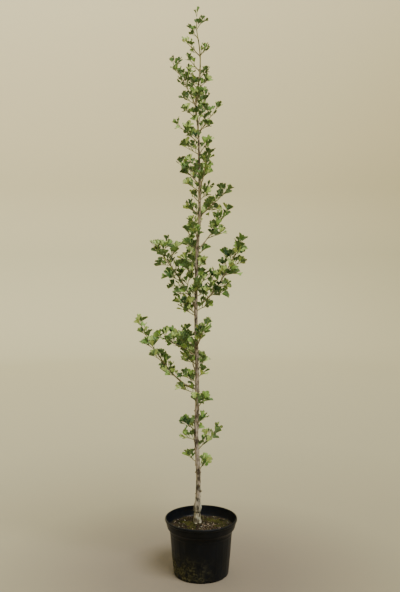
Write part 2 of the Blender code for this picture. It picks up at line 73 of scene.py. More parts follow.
def turned_grid(radii, heights, sides):
    """Corners of a profile turned about Z: (r cos t, r sin t, z) for every t of a full turn."""
    turns = np.linspace(0.0, math.tau, sides, endpoint=False)
    radii = np.asarray(radii, float)[:, None]
    heights = np.asarray(heights, float)[:, None] + 0.0 * turns
    return np.stack((radii * np.cos(turns), radii * np.sin(turns), heights), axis=-1)


def ring_quads(rows, sides, first=0):
    """Quads between neighbouring rings of a closed turn; ring i, side j is corner i * sides + j."""
    i, j = np.meshgrid(np.arange(rows - 1), np.arange(sides), indexing="ij")
    k = (j + 1) % sides
    quads = np.stack((i * sides + j, i * sides + k, (i + 1) * sides + k, (i + 1) * sides + j), axis=-1)
    return quads.reshape(-1, 4) + first


def closed_faces(rows, sides, first=0, way=1):
    """The quads between the rings and a cap on each end, or all of them turned over by a way of -1."""
    ring = first + np.arange(sides)
    caps = [ring[::-1].tolist(), (ring + (rows - 1) * sides).tolist()]
    return [face[::way] for face in ring_quads(rows, sides, first).tolist() + caps]


def new_piece(name, corners, faces, material, crease=40.0):
    """A piece whose place is in its mesh, smooth but for edges that turn by more than the crease."""
    mesh = bpy.data.meshes.new(name)
    mesh.from_pydata(np.asarray(corners, float).reshape(-1, 3).tolist(), [], faces)
    mesh.materials.append(material)
    mesh.shade_smooth()
    mesh.set_sharp_from_angle(angle=math.radians(crease))
    piece = bpy.data.objects.new(name, mesh)
    bpy.context.scene.collection.objects.link(piece)
    return piece


def new_finish(name, roughness, specular=0.5):
    """A material with one shader, whose fixed numbers sit on the shader's own sockets."""
    material = bpy.data.materials.new(name)
    material.use_nodes = True
    shader = material.node_tree.nodes["Principled BSDF"]
    shader.inputs["Roughness"].default_value = roughness
    shader.inputs["Specular IOR Level"].default_value = specular
    return material, material.node_tree


def object_place(tree):
    """Each point's own place on its piece, in metres."""
    return tree.nodes.new("ShaderNodeTexCoord").outputs["Object"]


def grain(tree, scale, stretch=(1.0, 1.0, 1.0), detail=3.0):
    """Noise in the range 0 to 1 at the given number of lumps per metre, stretched along an axis."""
    mapping = tree.nodes.new("ShaderNodeMapping")
    mapping.inputs["Scale"].default_value = stretch
    noise = tree.nodes.new("ShaderNodeTexNoise")
    noise.inputs["Scale"].default_value = scale
    noise.inputs["Detail"].default_value = detail
    tree.links.new(object_place(tree), mapping.inputs["Vector"])
    tree.links.new(mapping.outputs["Vector"], noise.inputs["Vector"])
    return noise.outputs["Fac"]


def tone(tree, value, stops):
    """Colours along a value, from (position, colour) stops."""
    ramp = tree.nodes.new("ShaderNodeValToRGB").color_ramp
    while len(ramp.elements) < len(stops):
        ramp.elements.new(0.5)
    for element, (position, colour) in zip(ramp.elements, stops):
        element.position = position
        element.color = (*colour, 1.0)
    node = tree.nodes[-1]
    tree.links.new(value, node.inputs["Fac"])
    return node.outputs["Color"]


def span(tree, value, low, high, to_low=0.0, to_high=1.0):
    """A value's range low to high, carried over to another range and held at its ends."""
    node = tree.nodes.new("ShaderNodeMapRange")
    for name, number in (("From Min", low), ("From Max", high), ("To Min", to_low), ("To Max", to_high)):
        node.inputs[name].default_value = number
    tree.links.new(value, node.inputs["Value"])
    return node.outputs["Result"]


def paint(tree, value, socket="Base Color"):
    """The value goes to the shader's socket."""
    tree.links.new(value, tree.nodes["Principled BSDF"].inputs[socket])


cove = np.linspace(0.0, math.pi / 2, FLOOR_RINGS)[1:]
floor_radii = np.concatenate((
    np.linspace(0.01, FLOOR_REACH, FLOOR_RINGS), FLOOR_REACH + COVE_RADIUS * np.sin(cove),
    [FLOOR_REACH + COVE_RADIUS]))
floor_heights = np.concatenate((
    np.zeros(FLOOR_RINGS), COVE_RADIUS * (1.0 - np.cos(cove)), [BACKDROP_TOP])) - FLOOR_DROP
floor_finish, tree = new_finish("studio_floor", 0.9, 0.1)
distance = tree.nodes.new("ShaderNodeVectorMath")
distance.operation = "LENGTH"
tree.links.new(object_place(tree), distance.inputs[0])
# The floor's colour is painted shade round the pot and painted light up the backdrop
paint(tree, tone(tree, span(tree, distance.outputs["Value"], 0.0, BACKDROP_REACH), BACKDROP_PAINTED_LIGHT))
# The bowl is open at its top, so it has no last cap
floor = new_piece("studio_floor", turned_grid(floor_radii, floor_heights, FLOOR_SIDES),
                  closed_faces(len(floor_radii), FLOOR_SIDES, way=-1)[:-1], floor_finish)

world = bpy.data.worlds.new("studio_sky")
world.use_nodes = True
sky = world.node_tree.nodes["Background"].inputs
sky["Color"].default_value = (*SKY_COLOUR, 1.0)
sky["Strength"].default_value = SKY_STRENGTH
bpy.context.scene.world = world

lamp = bpy.data.objects.new("soft_lamp", bpy.data.lights.new("soft_lamp", "SUN"))
lamp.data.energy = LAMP_STRENGTH
lamp.data.angle = LAMP_SPREAD
lamp.rotation_euler = Vector(LAMP_PLACE).to_track_quat("Z", "Y").to_euler()
bpy.context.scene.collection.objects.link(lamp)

camera = bpy.data.objects.new("camera", bpy.data.cameras.new("camera"))
camera.data.lens = CAMERA_LENS
camera.location = CAMERA_PLACE
camera.rotation_euler = (math.pi / 2 - CAMERA_DOWN, 0.0, 0.0)
bpy.context.scene.collection.objects.link(camera)
bpy.context.scene.camera = camera

# ---- Pot ----
# A black nursery pot, blown in one piece from recycled plastic: a rolled rim on a deep collar, a
# step down to a tapered body with faint upright ribs, and drain notches round its lower edge.
# Algae has made a greenish brown film low on its left side.

POT_SIDES = 288
RIB_COUNT = 24
RIB_DEPTH = 0.0005
NOTCH_COUNT = 8
NOTCH_TURN = math.radians(12.0)
NOTCH_HALF = math.radians(6.5)
NOTCH_SIDE = math.radians(2.2)
NOTCH_HEIGHT = 0.0055
POT_SAG = 0.0005

# Radius and height down the outside and up the inside, in tenths of a millimetre
pot_outside = (
    (1391, 2245), (1409, 2240), (1421, 2228), (1425, 2210), (1425, 2175), (1421, 2158), (1410, 2148),
    (1397, 2142), (1390, 2132), (1387, 2110), (1373, 2040), (1356, 1970), (1343, 1915), (1336, 1890),
    (1326, 1866), (1298, 1838), (1262, 1790), (1239, 1745), (1228, 1715), (1224, 1685), (1228, 1670),
    (1228, 1655), (1218, 1640), (1212, 1560), (1200, 1400), (1186, 1220), (1171, 1040), (1156, 850),
    (1139, 650), (1121, 450), (1106, 280), (1096, 160), (1090, 90), (1085, 50), (1069, 18), (1047, 2),
    (1020, 0), (980, 0), (930, 4), (500, 6), (80, 6),
)
pot_inside = (
    (80, 30), (600, 30), (1000, 34), (1050, 50), (1068, 90), (1098, 450), (1133, 850), (1163, 1220),
    (1189, 1560), (1200, 1685), (1208, 1725), (1238, 1790), (1274, 1850), (1301, 1875), (1312, 1905),
    (1331, 1970), (1348, 2040), (1362, 2110), (1368, 2160), (1372, 2200), (1378, 2228), (1384, 2240),
)


def lattice_noise(points, cell, seed):
    """Smooth noise from -1 to 1: random values on a lattice, blended along each axis by 3t^2 - 2t^3."""
    values = np.random.default_rng(seed).uniform(-1.0, 1.0, 4096)
    spot = np.asarray(points, float) / cell
    low = np.floor(spot).astype(np.int64)
    part = spot - low
    part = part * part * (3.0 - 2.0 * part)
    total = np.zeros(spot.shape[:-1])
    for corner in np.ndindex(2, 2, 2):
        key = (low + corner) @ np.array((73856093, 19349663, 83492791))
        weight = np.where(corner, part, 1.0 - part).prod(axis=-1)
        total = total + weight * values[key % 4096]
    return total


def settle(piece, slot, *nodes):
    """The piece rides on the plant and stands for its nodes; its slot is not used."""
    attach(piece, "root")
    if nodes:
        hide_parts(*nodes)


# One profile from the middle of the underside, up the outside, over the rim and down inside
pot_profile = np.array(pot_outside[::-1] + pot_inside[::-1]) / 10000
outer_rows = len(pot_outside)
pot_corners = turned_grid(pot_profile[:, 0], pot_profile[:, 1], POT_SIDES)
pot_turns = np.linspace(0.0, math.tau, POT_SIDES, endpoint=False)
# A rib is cos(n t) held to its crests, on the body alone; the collar and foot run plain
rib = RIB_DEPTH * np.clip(np.cos(RIB_COUNT * pot_turns), 0.0, 1.0) ** 3
on_body = np.interp(pot_profile[:, 1], (0.012, 0.03, 0.150, 0.162), (0.0, 1.0, 1.0, 0.0))
on_body[outer_rows:] = 0.0
outward = np.stack((np.cos(pot_turns), np.sin(pot_turns)), axis=-1)
push = on_body[:, None] * rib + POT_SAG * lattice_noise(pot_corners, 0.07, 11)
pot_corners[..., :2] += outward * push[..., None]
# A drain notch lifts the lower edge by a flat-topped arch of the angle from its middle
pitch = math.tau / NOTCH_COUNT
away = np.abs((pot_turns - NOTCH_TURN + pitch / 2) % pitch - pitch / 2)
arch = NOTCH_HEIGHT * np.clip((NOTCH_HALF - away) / NOTCH_SIDE, 0.0, 1.0)
near_edge = np.interp(pot_profile[:, 0], (0.090, 0.096), (0.0, 1.0))
near_edge[outer_rows:] = 0.0
pot_corners[..., 2] += np.clip(arch * near_edge[:, None] - pot_corners[..., 2], 0.0, None)

pot_finish, tree = new_finish("black_pot_plastic", 0.42, 0.16)
scuffs = tone(tree, grain(tree, 34.0, (1.0, 1.0, 0.45), 5.0), (
    (0.30, (0.0034, 0.0042, 0.0056)), (0.62, (0.0052, 0.0066, 0.0092)), (0.78, (0.0125, 0.0134, 0.0150))))
algae = tone(tree, grain(tree, 120.0, detail=6.0), (
    (0.40, (0.016, 0.016, 0.009)), (0.54, (0.066, 0.063, 0.029)), (0.68, (0.150, 0.138, 0.066))))


def along_axis(tree, axis):
    """The place's distance along one axis."""
    split = tree.nodes.new("ShaderNodeSeparateXYZ")
    tree.links.new(object_place(tree), split.inputs["Vector"])
    return split.outputs[axis]


def product(tree, first, second):
    """Two values multiplied."""
    node = tree.nodes.new("ShaderNodeMath")
    node.operation = "MULTIPLY"
    tree.links.new(first, node.inputs[0])
    tree.links.new(second, node.inputs[1])
    return node.outputs[0]


def blend(tree, share, low, high, kind="MIX"):
    """Two colours mixed by a share, which is a socket or a number."""
    node = tree.nodes.new("ShaderNodeMix")
    node.data_type = "RGBA"
    node.blend_type = kind
    if isinstance(share, float):
        node.inputs["Factor"].default_value = share
    else:
        tree.links.new(share, node.inputs["Factor"])
    for socket, colour in ((node.inputs["A"], low), (node.inputs["B"], high)):
        if isinstance(colour, tuple):
            socket.default_value = (*colour, 1.0)
        else:
            tree.links.new(colour, socket)
    return node.outputs["Result"]


def relief(tree, value, depth):
    """Bump of the given depth in metres."""
    bump = tree.nodes.new("ShaderNodeBump")
    bump.inputs["Distance"].default_value = depth
    tree.links.new(value, bump.inputs["Height"])
    paint(tree, bump.outputs["Normal"], "Normal")


lowness = span(tree, along_axis(tree, "Z"), 0.115, 0.022)
leftness = span(tree, along_axis(tree, "X"), 0.055, -0.075, 0.08, 1.0)
patches = span(tree, grain(tree, 42.0, detail=5.0), 0.38, 0.56)
film = product(tree, product(tree, lowness, leftness), patches)
paint(tree, blend(tree, film, scuffs, algae))
paint(tree, span(tree, film, 0.0, 0.6, 0.40, 0.85), "Roughness")
relief(tree, grain(tree, 240.0), 0.0002)
pot_faces = closed_faces(len(pot_profile), POT_SIDES)
settle(new_piece("pot_shell", pot_corners, pot_faces, pot_finish), "pot_plastic", "pot")

# ---- Soil ----
# A peaty potting mix that fills the pot to a few centimetres under its rim. It has sunk a little
# at the wall and heaps up round the trunk. Bark chips, grit and pale bits lie on it, and moss
# grows in cushions, thickest behind and to the right of the trunk.

SOIL_TOP = 0.1900
SOIL_RINGS = 96
SOIL_SIDES = 200
SOIL_EDGE = 0.1292
TRUNK_FOOT = (-0.0158, 0.0300)
MOSS_SPOTS = (
    (-0.046, 0.018, 0.026, 0.0040), (-0.074, 0.036, 0.022, 0.0032), (-0.036, -0.022, 0.018, 0.0030),
    (0.030, 0.062, 0.026, 0.0040), (0.066, 0.046, 0.026, 0.0044), (0.088, 0.016, 0.020, 0.0034),
    (0.060, -0.012, 0.017, 0.0030), (-0.010, 0.086, 0.024, 0.0036), (-0.058, 0.076, 0.020, 0.0030),
    (0.096, -0.022, 0.014, 0.0026), (-0.090, -0.012, 0.016, 0.0024), (0.040, -0.066, 0.015, 0.0024),
    (-0.024, -0.078, 0.016, 0.0022), (0.014, 0.028, 0.013, 0.0024),
)


def soil_height(x, y):
    """Soil level: a heap round the trunk, a dip at the wall, moss cushions, and noise at three sizes."""
    place = np.stack((x, y, 0.0 * x), axis=-1)
    foot = np.hypot(x - TRUNK_FOOT[0], y - TRUNK_FOOT[1])
    level = SOIL_TOP + 0.0035 * np.exp(-(foot / 0.035) ** 2)
    level = level - 0.0035 * np.clip((np.hypot(x, y) - 0.100) / 0.027, 0.0, 1.0) ** 2
    level = level + 0.0022 * lattice_noise(place, 0.030, 21)
    level = level + 0.0014 * lattice_noise(place, 0.009, 22)
    return level + 0.0007 * lattice_noise(place, 0.0035, 23)


soil_radii = SOIL_EDGE * np.linspace(0.004, 1.0, SOIL_RINGS) ** 0.8
soil_corners = turned_grid(soil_radii, np.zeros(SOIL_RINGS), SOIL_SIDES)
soil_corners[..., 2] = soil_height(soil_corners[..., 0], soil_corners[..., 1])
soil_skirt = turned_grid((0.1280, 0.1190, 0.1050, 0.1000), (0.1850, 0.1700, 0.0080, 0.0036), SOIL_SIDES)
soil_corners = np.concatenate((soil_corners, soil_skirt))
soil_faces = closed_faces(len(soil_corners), SOIL_SIDES, way=-1)
soil_finish, tree = new_finish("peaty_mix", 0.95, 0.15)
peat = tone(tree, grain(tree, 160.0, detail=6.0), (
    (0.36, (0.005, 0.004, 0.002)), (0.49, (0.018, 0.014, 0.007)), (0.60, (0.044, 0.034, 0.016)),
    (0.74, (0.120, 0.096, 0.053))))
green = tone(tree, grain(tree, 240.0, detail=4.0), (
    (0.38, (0.010, 0.011, 0.003)), (0.68, (0.056, 0.056, 0.012))))
cover = span(tree, grain(tree, 38.0, detail=3.0), 0.50, 0.58, 0.0, 0.8)
paint(tree, blend(tree, cover, peat, green))
relief(tree, grain(tree, 420.0, detail=5.0), 0.0012)
settle(new_piece("soil_bed", soil_corners, soil_faces, soil_finish, 80.0), "potting_soil", "soil")

# Moss cushions: each a dome h (1 - r^2)^0.6 over the soil, roughened to tufts by fine noise
MOSS_RINGS = 18
MOSS_SIDES = 40
moss_ring = np.linspace(0.02, 1.0, MOSS_RINGS)
moss_corners = []
moss_faces = []
for index, (x, y, reach, rise) in enumerate(MOSS_SPOTS):
    dome = turned_grid(moss_ring * reach, np.zeros(MOSS_RINGS), MOSS_SIDES)
    edge = 1.0 + 0.30 * lattice_noise(dome + (x, y, index), 0.012, 31)
    dome[..., :2] = dome[..., :2] * edge[..., None] + (x, y)
    tuft = 1.0 + 0.55 * lattice_noise(dome, 0.0032, 32) + 0.35 * lattice_noise(dome, 0.0016, 33)
    crown = rise * np.clip(1.0 - moss_ring**2, 0.0, 1.0)[:, None] ** 0.6 * tuft
    dome[..., 2] = soil_height(dome[..., 0], dome[..., 1]) + crown - 0.0012
    under = dome[-1:] - (0.0, 0.0, 0.002)
    first = sum(len(ring) * MOSS_SIDES for ring in moss_corners)
    moss_corners.append(np.concatenate((dome, under)))
    moss_faces += closed_faces(MOSS_RINGS + 1, MOSS_SIDES, first, -1)
moss_finish, tree = new_finish("cushion_moss", 0.95, 0.10)
tufts = tone(tree, grain(tree, 420.0, detail=4.0), (
    (0.36, (0.007, 0.008, 0.002)), (0.52, (0.030, 0.029, 0.007)), (0.70, (0.098, 0.092, 0.022))))
shades = tone(tree, grain(tree, 34.0), ((0.40, (0.42, 0.40, 0.36)), (0.60, (1.45, 1.45, 1.35))))
paint(tree, blend(tree, 1.0, tufts, shades, "MULTIPLY"))
relief(tree, grain(tree, 900.0, detail=3.0), 0.0012)
moss = new_piece("moss_cushions", np.concatenate(moss_corners), moss_faces, moss_finish, 80.0)
settle(moss, "potting_soil", "soil")

# Chips and stones: a six-sided slab, its rim r (1 + noise) and its two faces lofted apart
CHIP_SIDES = 6
CHIP_REACH = 0.117
chip_draw = np.random.default_rng(41)


def tube_faces(tubes, points, sides):
    """The quads of every tube and one cap at each of its ends."""
    first = np.arange(tubes)[:, None, None] * points * sides
    faces = (ring_quads(points, sides)[None] + first).reshape(-1, 4).tolist()
    ring = np.arange(sides)
    last = first[:, 0] + (points - 1) * sides
    return faces + (first[:, 0] + ring[::-1]).tolist() + (last + ring).tolist()


def slabs(name, count, length, flatness, width, finish, hump):
    """Count slabs strewn and leaned: rim radius l (1 + jitter), thickness flatness times l."""
    turns = np.linspace(0.0, math.tau, CHIP_SIDES, endpoint=False)
    size = chip_draw.uniform(*length, (count, 1)) / 2
    rim = 1.0 + chip_draw.uniform(-0.28, 0.28, (count, CHIP_SIDES))
    along = np.cos(turns) * rim * size
    across = np.sin(turns) * rim * size * width
    tilt = chip_draw.uniform(-0.35, 0.35, (count, 2))
    lean = along * tilt[:, :1] + across * tilt[:, 1:]
    turn = chip_draw.uniform(0.0, math.tau, (count, 1))
    x = along * np.cos(turn) - across * np.sin(turn)
    y = along * np.sin(turn) + across * np.cos(turn)
    out = CHIP_REACH * np.sqrt(chip_draw.uniform(0.0, 1.0, (count, 1)))
    way = chip_draw.uniform(0.0, math.tau, (count, 1))
    middle_x = out * np.cos(way)
    middle_y = out * np.sin(way)
    base = soil_height(middle_x, middle_y) + 0.0004
    thick = size * flatness
    rows = []
    for share, grow in ((-1.0, 0.80), (-0.5, 1.0), (0.6, 1.0), (1.0, 1.0 - hump)):
        rows.append(np.stack((
            middle_x + x * grow, middle_y + y * grow, base + lean * grow + share * thick), axis=-1))
    faces = tube_faces(count, len(rows), CHIP_SIDES)
    settle(new_piece(name, np.stack(rows, axis=1), faces, finish, 30.0), "potting_soil", "soil")


def strewn_finish(name, low, high, cell):
    """A dry, matt finish between two tones."""
    finish, tree = new_finish(name, 0.9, 0.2)
    paint(tree, tone(tree, grain(tree, cell, (1.0, 1.0, 2.5), 4.0), ((0.3, low), (0.7, high))))
    relief(tree, grain(tree, 700.0, (1.0, 3.0, 1.0)), 0.0004)
    return finish


slabs("bark_chips", 240, (0.005, 0.017), 0.26, 0.45,
      strewn_finish("wet_bark_chips", (0.010, 0.006, 0.003), (0.055, 0.032, 0.016), 110.0), 0.35)
slabs("dry_chips", 90, (0.004, 0.012), 0.24, 0.36,
      strewn_finish("dry_bark_chips", (0.090, 0.058, 0.031), (0.270, 0.200, 0.130), 120.0), 0.35)
slabs("grit", 70, (0.0022, 0.0050), 0.60, 0.85,
      strewn_finish("pale_grit", (0.150, 0.135, 0.105), (0.400, 0.370, 0.300), 260.0), 0.45)

# Curled shavings: a strip that tapers to both ends on a level arc, p = m + r (cos t, sin t), one
# side of it lifted; most of them lie at the right of the trunk
CURLS = 30
CURL_POINTS = 9
CURL_SIDES = 6


def tube_corners(paths, radii, sides, aside):
    """Rings round each path: p + r (cos t a + sin t b), with a and b square to the path's own run.

    paths is (tubes, points, 3), radii (tubes, points) or (tubes, points, sides), aside (tubes, 3).
    """
    along = np.gradient(paths, axis=1)
    along /= np.linalg.norm(along, axis=-1, keepdims=True)
    first = aside[:, None] - along * (aside[:, None] * along).sum(axis=-1, keepdims=True)
    first /= np.linalg.norm(first, axis=-1, keepdims=True)
    second = np.cross(along, first)
    turns = np.linspace(0.0, math.tau, sides, endpoint=False)
    arms = np.cos(turns)[:, None] * first[:, :, None] + np.sin(turns)[:, None] * second[:, :, None]
    radii = radii if radii.ndim == 3 else radii[:, :, None]
    return paths[:, :, None] + radii[..., None] * arms


curl_draw = np.random.default_rng(47)
middle = curl_draw.normal((0.026, -0.012), (0.024, 0.026), (CURLS, 2))
bow = curl_draw.uniform(0.0022, 0.0060, (CURLS, 1))
start = curl_draw.uniform(0.0, math.tau, (CURLS, 1))
turns = start + curl_draw.uniform(1.6, 4.4, (CURLS, 1)) * np.linspace(0.0, 1.0, CURL_POINTS)
tilt = curl_draw.uniform(-0.7, 0.7, (CURLS, 1))
x = middle[:, :1] + bow * np.cos(turns)
y = middle[:, 1:] + bow * np.sin(turns)
z = soil_height(x, y) + 0.0012 + bow * np.clip(np.sin(turns) * tilt, -0.1, 1.0)
ends = np.sin(np.linspace(0.25, math.pi - 0.25, CURL_POINTS))
thick = curl_draw.uniform(0.0006, 0.0013, (CURLS, 1)) * ends
curl_corners = tube_corners(np.stack((x, y, z), axis=-1), thick, CURL_SIDES, np.array([[0.1, 0.2, 1.0]]))
curl_finish = strewn_finish("curled_shaving", (0.120, 0.082, 0.052), (0.420, 0.330, 0.240), 180.0)
curl_faces = tube_faces(CURLS, CURL_POINTS, CURL_SIDES)
shavings = new_piece("curled_shavings", curl_corners, curl_faces, curl_finish, 60.0)
settle(shavings, "potting_soil", "soil")

# ---- Trunk ----
# One slim stem that flares at its foot, swells at the graft a hand's breadth up and leans forward
# to its tip. The bark is grey-brown, finely ridged and ringed under each spur. It is pale and
# lichened at the foot, and turns to smooth greenish young wood near the top.

GAP = 0.0003
TRUNK_HEIGHT = 1.9550
TRUNK_RADIUS = 0.0092
TRUNK_TIP_RADIUS = 0.0012
TRUNK_TAPER = 0.70
BUTT = (0.0024, 0.1200)
FLARE = (0.0060, 0.0220)
GRAFT = (0.0055, 0.0620, 0.0200)
PINCH = (0.11, 0.0440, 0.0035)
LOBES = (0.10, 3.0, 0.6, 0.016)
FOOT_BACK = 0.0300
TIP_BACK = 0.0100
TRUNK_BENDS = np.array((
    (0.000, -0.0158), (0.020, -0.0158), (0.120, -0.0120), (0.200, -0.0110), (0.343, -0.0188),
    (0.520, -0.0155), (0.874, -0.0202), (1.094, -0.0151), (1.194, -0.0066), (1.450, -0.0078),
    (1.562, -0.0127), (1.629, -0.0205), (1.704, -0.0119), (1.782, -0.0036), (1.849, -0.0059),
    (1.926, -0.0175), (1.980, -0.0134),
))
TRUNK_SUNK = 0.006
LOW_RINGS = 260
LOW_REACH = 0.16
TRUNK_RINGS = 1500
TRUNK_SIDES = 40
SIDEWAYS = np.array([[1.0, 0.0, 0.0]])
LICHEN_COLOUR = (0.42, 0.47, 0.38)
TWIG_RADIUS = 0.0022

# Shoots that start as a bare bough:
# name, fork, heading, reach, rise, bend, radius, bare share, spurs, leaves on a spur
BOUGHS = (
    ("low_left", 0.541, 172, 0.224, 0.250, 1.75, 0.0038, 0.30, 8, 4),
    ("mid_left", 0.664, 205, 0.146, 0.086, 0.75, 0.0032, 0.16, 6, 4),
    ("big_left", 0.850, 160, 0.165, 0.244, 0.76, 0.0042, 0.28, 8, 4),
    ("big_right", 0.872, -14, 0.172, 0.238, 1.65, 0.0042, 0.24, 9, 4),
    ("right_shoulder", 1.085, 24, 0.122, 0.148, 1.15, 0.0028, 0.34, 4, 4),
    ("high_right", 1.216, -28, 0.110, 0.088, 1.05, 0.0026, 0.30, 5, 4),
    ("upper_left", 1.630, 168, 0.086, 0.164, 0.85, 0.0025, 0.20, 7, 4),
    ("low_back", 0.575, 110, 0.140, 0.170, 0.95, 0.0030, 0.34, 4, 4),
    ("mid_back", 0.985, 102, 0.145, 0.172, 0.95, 0.0028, 0.34, 4, 4),
    ("high_front", 1.300, -76, 0.118, 0.132, 0.95, 0.0025, 0.30, 3, 3),
    ("upper_back", 1.560, 72, 0.092, 0.118, 0.95, 0.0022, 0.28, 3, 3),
)
# Leafy twigs, then short spurs, on the trunk, in millimetres and degrees:
# fork, heading, reach, rise, spurs, leaves on a spur
TWIGS = (
    (1530, 12, 68, 94, 3, 4), (1494, 200, 76, 60, 3, 4), (1337, 155, 74, 72, 4, 4),
    (292, 10, 70, 72, 3, 4),
)
TRUNK_SPURS = (
    (206, -8, 20, 36, 2, 5), (244, 168, 26, 18, 1, 7), (334, 204, 32, 14, 1, 7), (370, 172, 34, 28, 2, 6),
    (394, 38, 19, 18, 1, 7), (460, -18, 24, 36, 2, 5), (568, 186, 36, 18, 1, 7), (604, 18, 21, 44, 2, 5),
    (704, -72, 76, 70, 3, 5), (700, 176, 28, 20, 1, 7), (756, 6, 30, 24, 1, 7), (836, 216, 44, 36, 2, 6),
    (962, 42, 22, 22, 1, 6), (1024, 190, 36, 20, 1, 7), (1088, 168, 26, 14, 1, 7),
    (1124, -108, 62, 60, 3, 5), (1218, 196, 28, 20, 1, 7), (1268, 150, 20, 18, 1, 6),
    (1298, 30, 28, 18, 1, 6), (1310, 202, 36, 22, 1, 7), (1354, -16, 24, 20, 1, 7),
    (1452, 8, 26, 38, 2, 6), (1452, 174, 34, 18, 1, 7), (1656, -60, 18, 16, 1, 6),
    (1734, 14, 18, 22, 1, 7), (1762, 160, 34, 40, 1, 6), (1822, -26, 16, 16, 1, 5),
    (1820, 190, 44, 42, 1, 6), (1886, 172, 21, 26, 1, 7), (1920, 22, 16, 22, 1, 6),
)


def trunk_line(height):
    """Points up the trunk: a Catmull-Rom curve through its bends sideways, a straight lean forward."""
    height = np.asarray(height, float)
    at, aside = TRUNK_BENDS.T
    spot = np.clip(np.searchsorted(at, height, side="left") - 1, 0, len(at) - 2)
    before = np.maximum(spot - 1, 0)
    after = np.minimum(spot + 2, len(at) - 1)
    reach = at[spot + 1] - at[spot]
    share = (height - at[spot]) / reach
    slope_in = reach * (aside[spot + 1] - aside[before]) / (at[spot + 1] - at[before])
    slope_out = reach * (aside[after] - aside[spot]) / (at[after] - at[spot])
    square = share * share
    cube = square * share
    x = (2 * cube - 3 * square + 1) * aside[spot] + (cube - 2 * square + share) * slope_in
    x = x + (3 * square - 2 * cube) * aside[spot + 1] + (cube - square) * slope_out
    y = FOOT_BACK + (TIP_BACK - FOOT_BACK) * height / TRUNK_HEIGHT
    return np.stack((x, y, SOIL_TOP + GAP + height), axis=-1)


def trunk_radius(height):
    """Power taper to the tip, plus a butt and a flare that fade as exp(-h) and a graft exp(-h^2)."""
    height = np.asarray(height, float)
    share = np.clip(1.0 - height / TRUNK_HEIGHT, 0.0, 1.0)
    stem = TRUNK_TIP_RADIUS + (TRUNK_RADIUS - TRUNK_TIP_RADIUS) * share**TRUNK_TAPER
    above = np.maximum(height, 0.0)
    foot = BUTT[0] * np.exp(-above / BUTT[1]) + FLARE[0] * np.exp(-above / FLARE[1])
    return stem + foot + GRAFT[0] * np.exp(-(((height - GRAFT[1]) / GRAFT[2]) ** 2))


# Rings stand closer together below, where the bark is rougher
trunk_at = np.concatenate((
    [-TRUNK_SUNK], np.linspace(-0.003, LOW_REACH, LOW_RINGS),
    np.linspace(LOW_REACH, TRUNK_HEIGHT, TRUNK_RINGS - LOW_RINGS)[1:], [TRUNK_HEIGHT + 0.0006]))
trunk_turns = np.linspace(0.0, math.tau, TRUNK_SIDES, endpoint=False)
bark = trunk_radius(trunk_at)
bark[-1] *= 0.4
skin = turned_grid(bark, trunk_at, TRUNK_SIDES)
# Ridges run up the stem, so their noise is stretched along it; they fade out in the young wood
old = np.clip(1.0 - trunk_at / 1.5, 0.12, 1.0)[:, None]
foot = np.exp(-np.clip(trunk_at, 0.0, None) / 0.05)[:, None]
rough = 0.050 * lattice_noise(skin * (1.0, 1.0, 0.10), 0.0026, 51) * old
rough = rough + 0.050 * lattice_noise(skin * (1.0, 1.0, 0.35), 0.0060, 52) * (0.4 + old)
rough = rough + 0.060 * lattice_noise(skin, 0.010, 53) * foot
# Root flare in lobes, a dark pinch under the graft, and a swollen ring where each shoot leaves
flare = np.exp(-np.clip(trunk_at, 0.0, None) / LOBES[3])[:, None]
rough = rough + LOBES[0] * np.cos(LOBES[1] * trunk_turns + LOBES[2]) * flare
rough = rough - PINCH[0] * np.exp(-((trunk_at - PINCH[1]) / PINCH[2]) ** 2)[:, None]
forks = [(row[1], row[2], row[6]) for row in BOUGHS]
forks += [(row[0] / 1000, row[1], TWIG_RADIUS) for row in TWIGS + TRUNK_SPURS]
for fork, heading, radius in forks:
    near = np.abs(trunk_at - fork) < 0.03
    facing = np.cos(trunk_turns - math.radians(heading))[None]
    collar = np.exp(-(((trunk_at[near] - fork) / (0.6 * radius + 0.0030)) ** 2))[:, None]
    rough[near] += collar * (0.05 + 0.22 * np.clip(facing, 0.0, 1.0) ** 2)
path = trunk_line(trunk_at)[None]
trunk_corners = tube_corners(path, (bark[:, None] * (1.0 + rough))[None], TRUNK_SIDES, SIDEWAYS)

trunk_finish, tree = new_finish("ridged_bark", 0.82, 0.25)
by_height = tone(tree, span(tree, along_axis(tree, "Z"), 0.19, 2.15), (
    (0.000, (0.470, 0.440, 0.315)), (0.014, (0.430, 0.405, 0.295)), (0.034, (0.270, 0.252, 0.195)),
    (0.056, (0.360, 0.318, 0.256)), (0.150, (0.300, 0.254, 0.208)), (0.550, (0.310, 0.262, 0.206)),
    (0.850, (0.280, 0.235, 0.155)), (0.930, (0.230, 0.225, 0.095)), (1.000, (0.180, 0.215, 0.075))))
streaks = tone(tree, grain(tree, 420.0, (1.0, 1.0, 0.09), 4.0), (
    (0.32, (0.40, 0.38, 0.36)), (0.47, (0.88, 0.87, 0.86)), (0.68, (1.36, 1.36, 1.38))))
worn = blend(tree, 1.0, by_height, streaks, "MULTIPLY")
patches = tone(tree, grain(tree, 62.0, (1.0, 1.0, 0.6), 3.0), (
    (0.41, (0.26, 0.24, 0.21)), (0.47, (0.80, 0.78, 0.74)), (0.57, (1.30, 1.29, 1.33))))
worn = blend(tree, 1.0, worn, patches, "MULTIPLY")
blotches = span(tree, grain(tree, 95.0, (1.0, 1.0, 0.5), 3.0), 0.54, 0.62, 0.0, 0.55)
lichen = product(tree, blotches, span(tree, along_axis(tree, "Z"), 0.42, 0.24))
paint(tree, blend(tree, lichen, worn, LICHEN_COLOUR))
relief(tree, grain(tree, 900.0, (1.0, 1.0, 0.12), 4.0), 0.0006)
trunk_faces = closed_faces(len(trunk_at), TRUNK_SIDES)
settle(new_piece("trunk_stem", trunk_corners, trunk_faces, trunk_finish, 60.0), "trunk_bark", "trunk")

